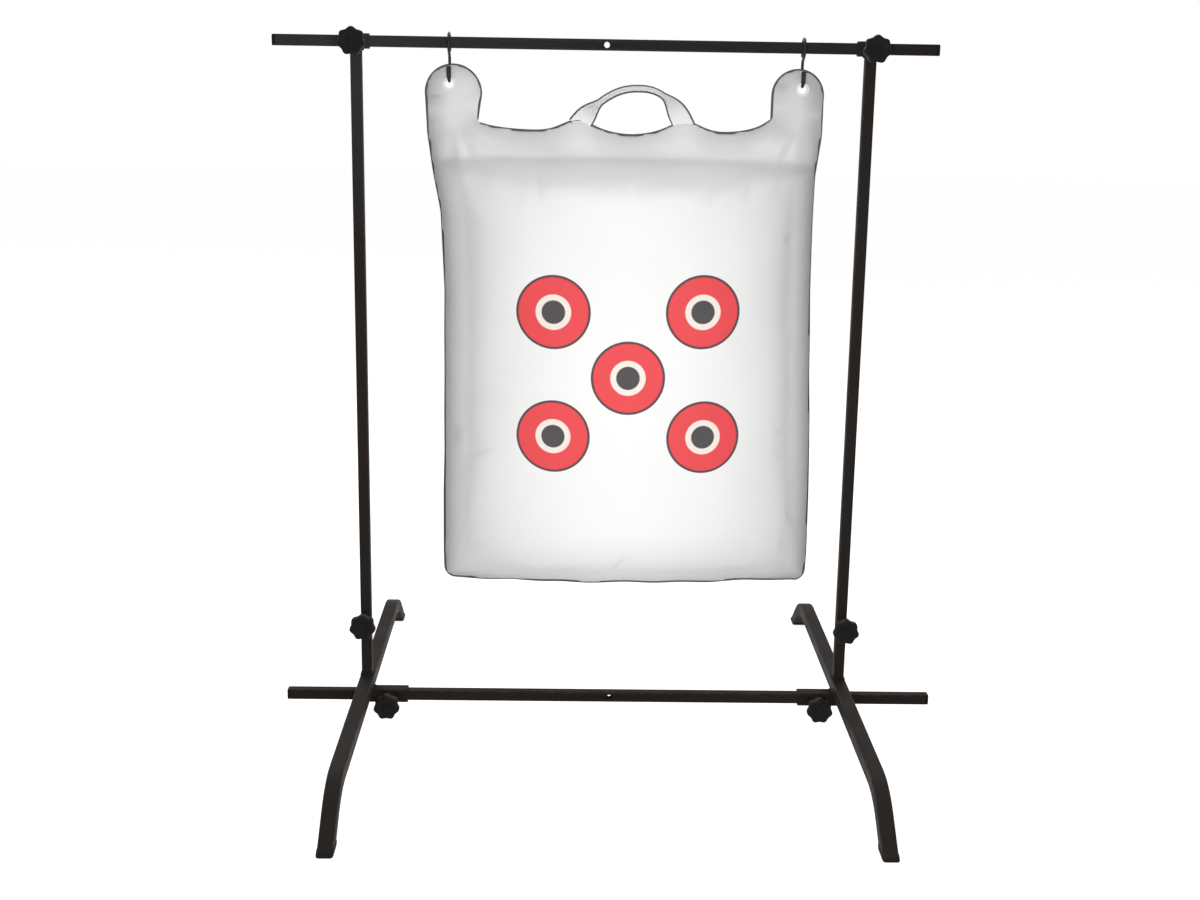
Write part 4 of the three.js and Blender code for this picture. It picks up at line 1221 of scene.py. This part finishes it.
def eyelet_ring(name, node, x):
    """Turned ring about an axis along Y: a half profile from the throat over a quarter-round mouth
    to the flange's edge and in to the barrel, mirrored, and carried round the axis."""
    low, high, (_, y, z) = span(node)
    outer = (high.y - low.y) / 2
    inner = outer - eyelet_mouth
    rim = eyelet_hole_radius + eyelet_rim
    half_profile = np.concatenate([
        arc(eyelet_hole_radius + eyelet_mouth, inner, eyelet_mouth, np.pi, np.pi / 2, 6),
        [(rim - eyelet_edge, outer), (rim, outer - eyelet_edge), (rim, inner),
         (eyelet_hole_radius + eyelet_barrel_wall, inner)]])
    profile = np.concatenate([half_profile, half_profile[::-1] * (1, -1)])
    angle = full_turn(eyelet_sides)
    radial = np.stack([np.cos(angle), 0 * angle, np.sin(angle)], -1)
    rings = carry(profile, [(x, y, z)] * eyelet_sides, radial, (0, 1, 0))
    return add_skin(name, rings, white_moulding, looped=True)


for word, (x, _) in hooks.items():
    eyelet = eyelet_ring(f"eyelet_{word}_ring", f"eyelet_{word}", x)
    settle(eyelet, "target", "eyelet_plastic", f"eyelet_{word}")

# Handle. A strap of white webbing whose ends are sewn flat into the top seam and which turns nearly
# edge-on over the grip, a little thicker there, with a dark thread along both its edges.
handle_rise = 0.063
handle_seam = 0.010
handle_power = 2.4
handle_skew = 0.13
strap_width = 0.034
strap_thickness = 0.004
grip_thickness = 0.0045
grip_turn = np.radians(78)
grip_lead = 0.45
handle_steps = 72
strap_sides = 40
strap_squareness = 0.35
edge_thread_radius = 0.0015
webbing_tones = (0.96, 0.955, 0.95, 1), (0.92, 0.915, 0.91, 1)
webbing, tree, shader, place = new_material("white_webbing")
fill(tree, shader, {
    "Base Color": blend(tree, noise(tree, place, 40.0, 4.0), *webbing_tones),
    "Normal": bumped(tree, noise(tree, place, 420.0, 2.0), 0.12, 0.0003),
    "Roughness": 0.8,
    "Sheen Weight": 0.12,
    "Specular IOR Level": 0.25})


def handle_line(place):
    """Middle of the strap at places from -1 to 1: it falls from its crown as a power of the distance
    to it, and the crown lies a little to the right of the middle."""
    skewed = place - handle_skew * (1 - place ** 2)
    x = handle_centre + handle_half_span * place
    z = bag_top + handle_seam + handle_rise * (1 - np.abs(skewed) ** handle_power)
    return np.stack([x, np.full_like(x, eyelet_y), z], -1)


def handle_frame(place):
    """The strap's middle line, and its width and thickness directions there. The width turns from
    the bag's plane to nearly straight across it as a smooth step of the distance from either foot."""
    ahead = handle_line(place + 0.01) - handle_line(place - 0.01)
    ahead /= np.linalg.norm(ahead, axis=1)[:, None]
    in_plane = np.stack([-ahead[:, 2], np.zeros_like(place), ahead[:, 0]], -1)
    across = np.array((0, 1.0, 0))
    step = ramp(-np.abs(place), -1, grip_lead)
    turn = (grip_turn * eased(step))[:, None]
    width = np.cos(turn) * in_plane + np.sin(turn) * across
    thickness = np.cos(turn) * across - np.sin(turn) * in_plane
    return handle_line(place), width, thickness, step


place = np.linspace(-1, 1, handle_steps + 1)
middle, width_way, thickness_way, step = handle_frame(place)
thick = strap_thickness + (grip_thickness - strap_thickness) * step
squared = circle_points(strap_sides)
squared = np.sign(squared) * np.abs(squared) ** strap_squareness
outline = squared * np.stack([np.full_like(thick, strap_width), thick], -1)[:, None, :] / 2
strap = add_skin("bag_handle_strap", carry(outline, middle, width_way, thickness_way), webbing, sharp=60.0)
settle(strap, "target", "bag_webbing", "bag_handle")
for number, edge in enumerate((-1, 1)):
    edge_path = middle + width_way * edge * (strap_width / 2) - thickness_way * (thick * number / 2)[:, None]
    edge_thread = thread_along(f"handle_edge_thread_{number}", edge_path, edge_thread_radius, False)
    settle(edge_thread, "target", "bag_webbing")
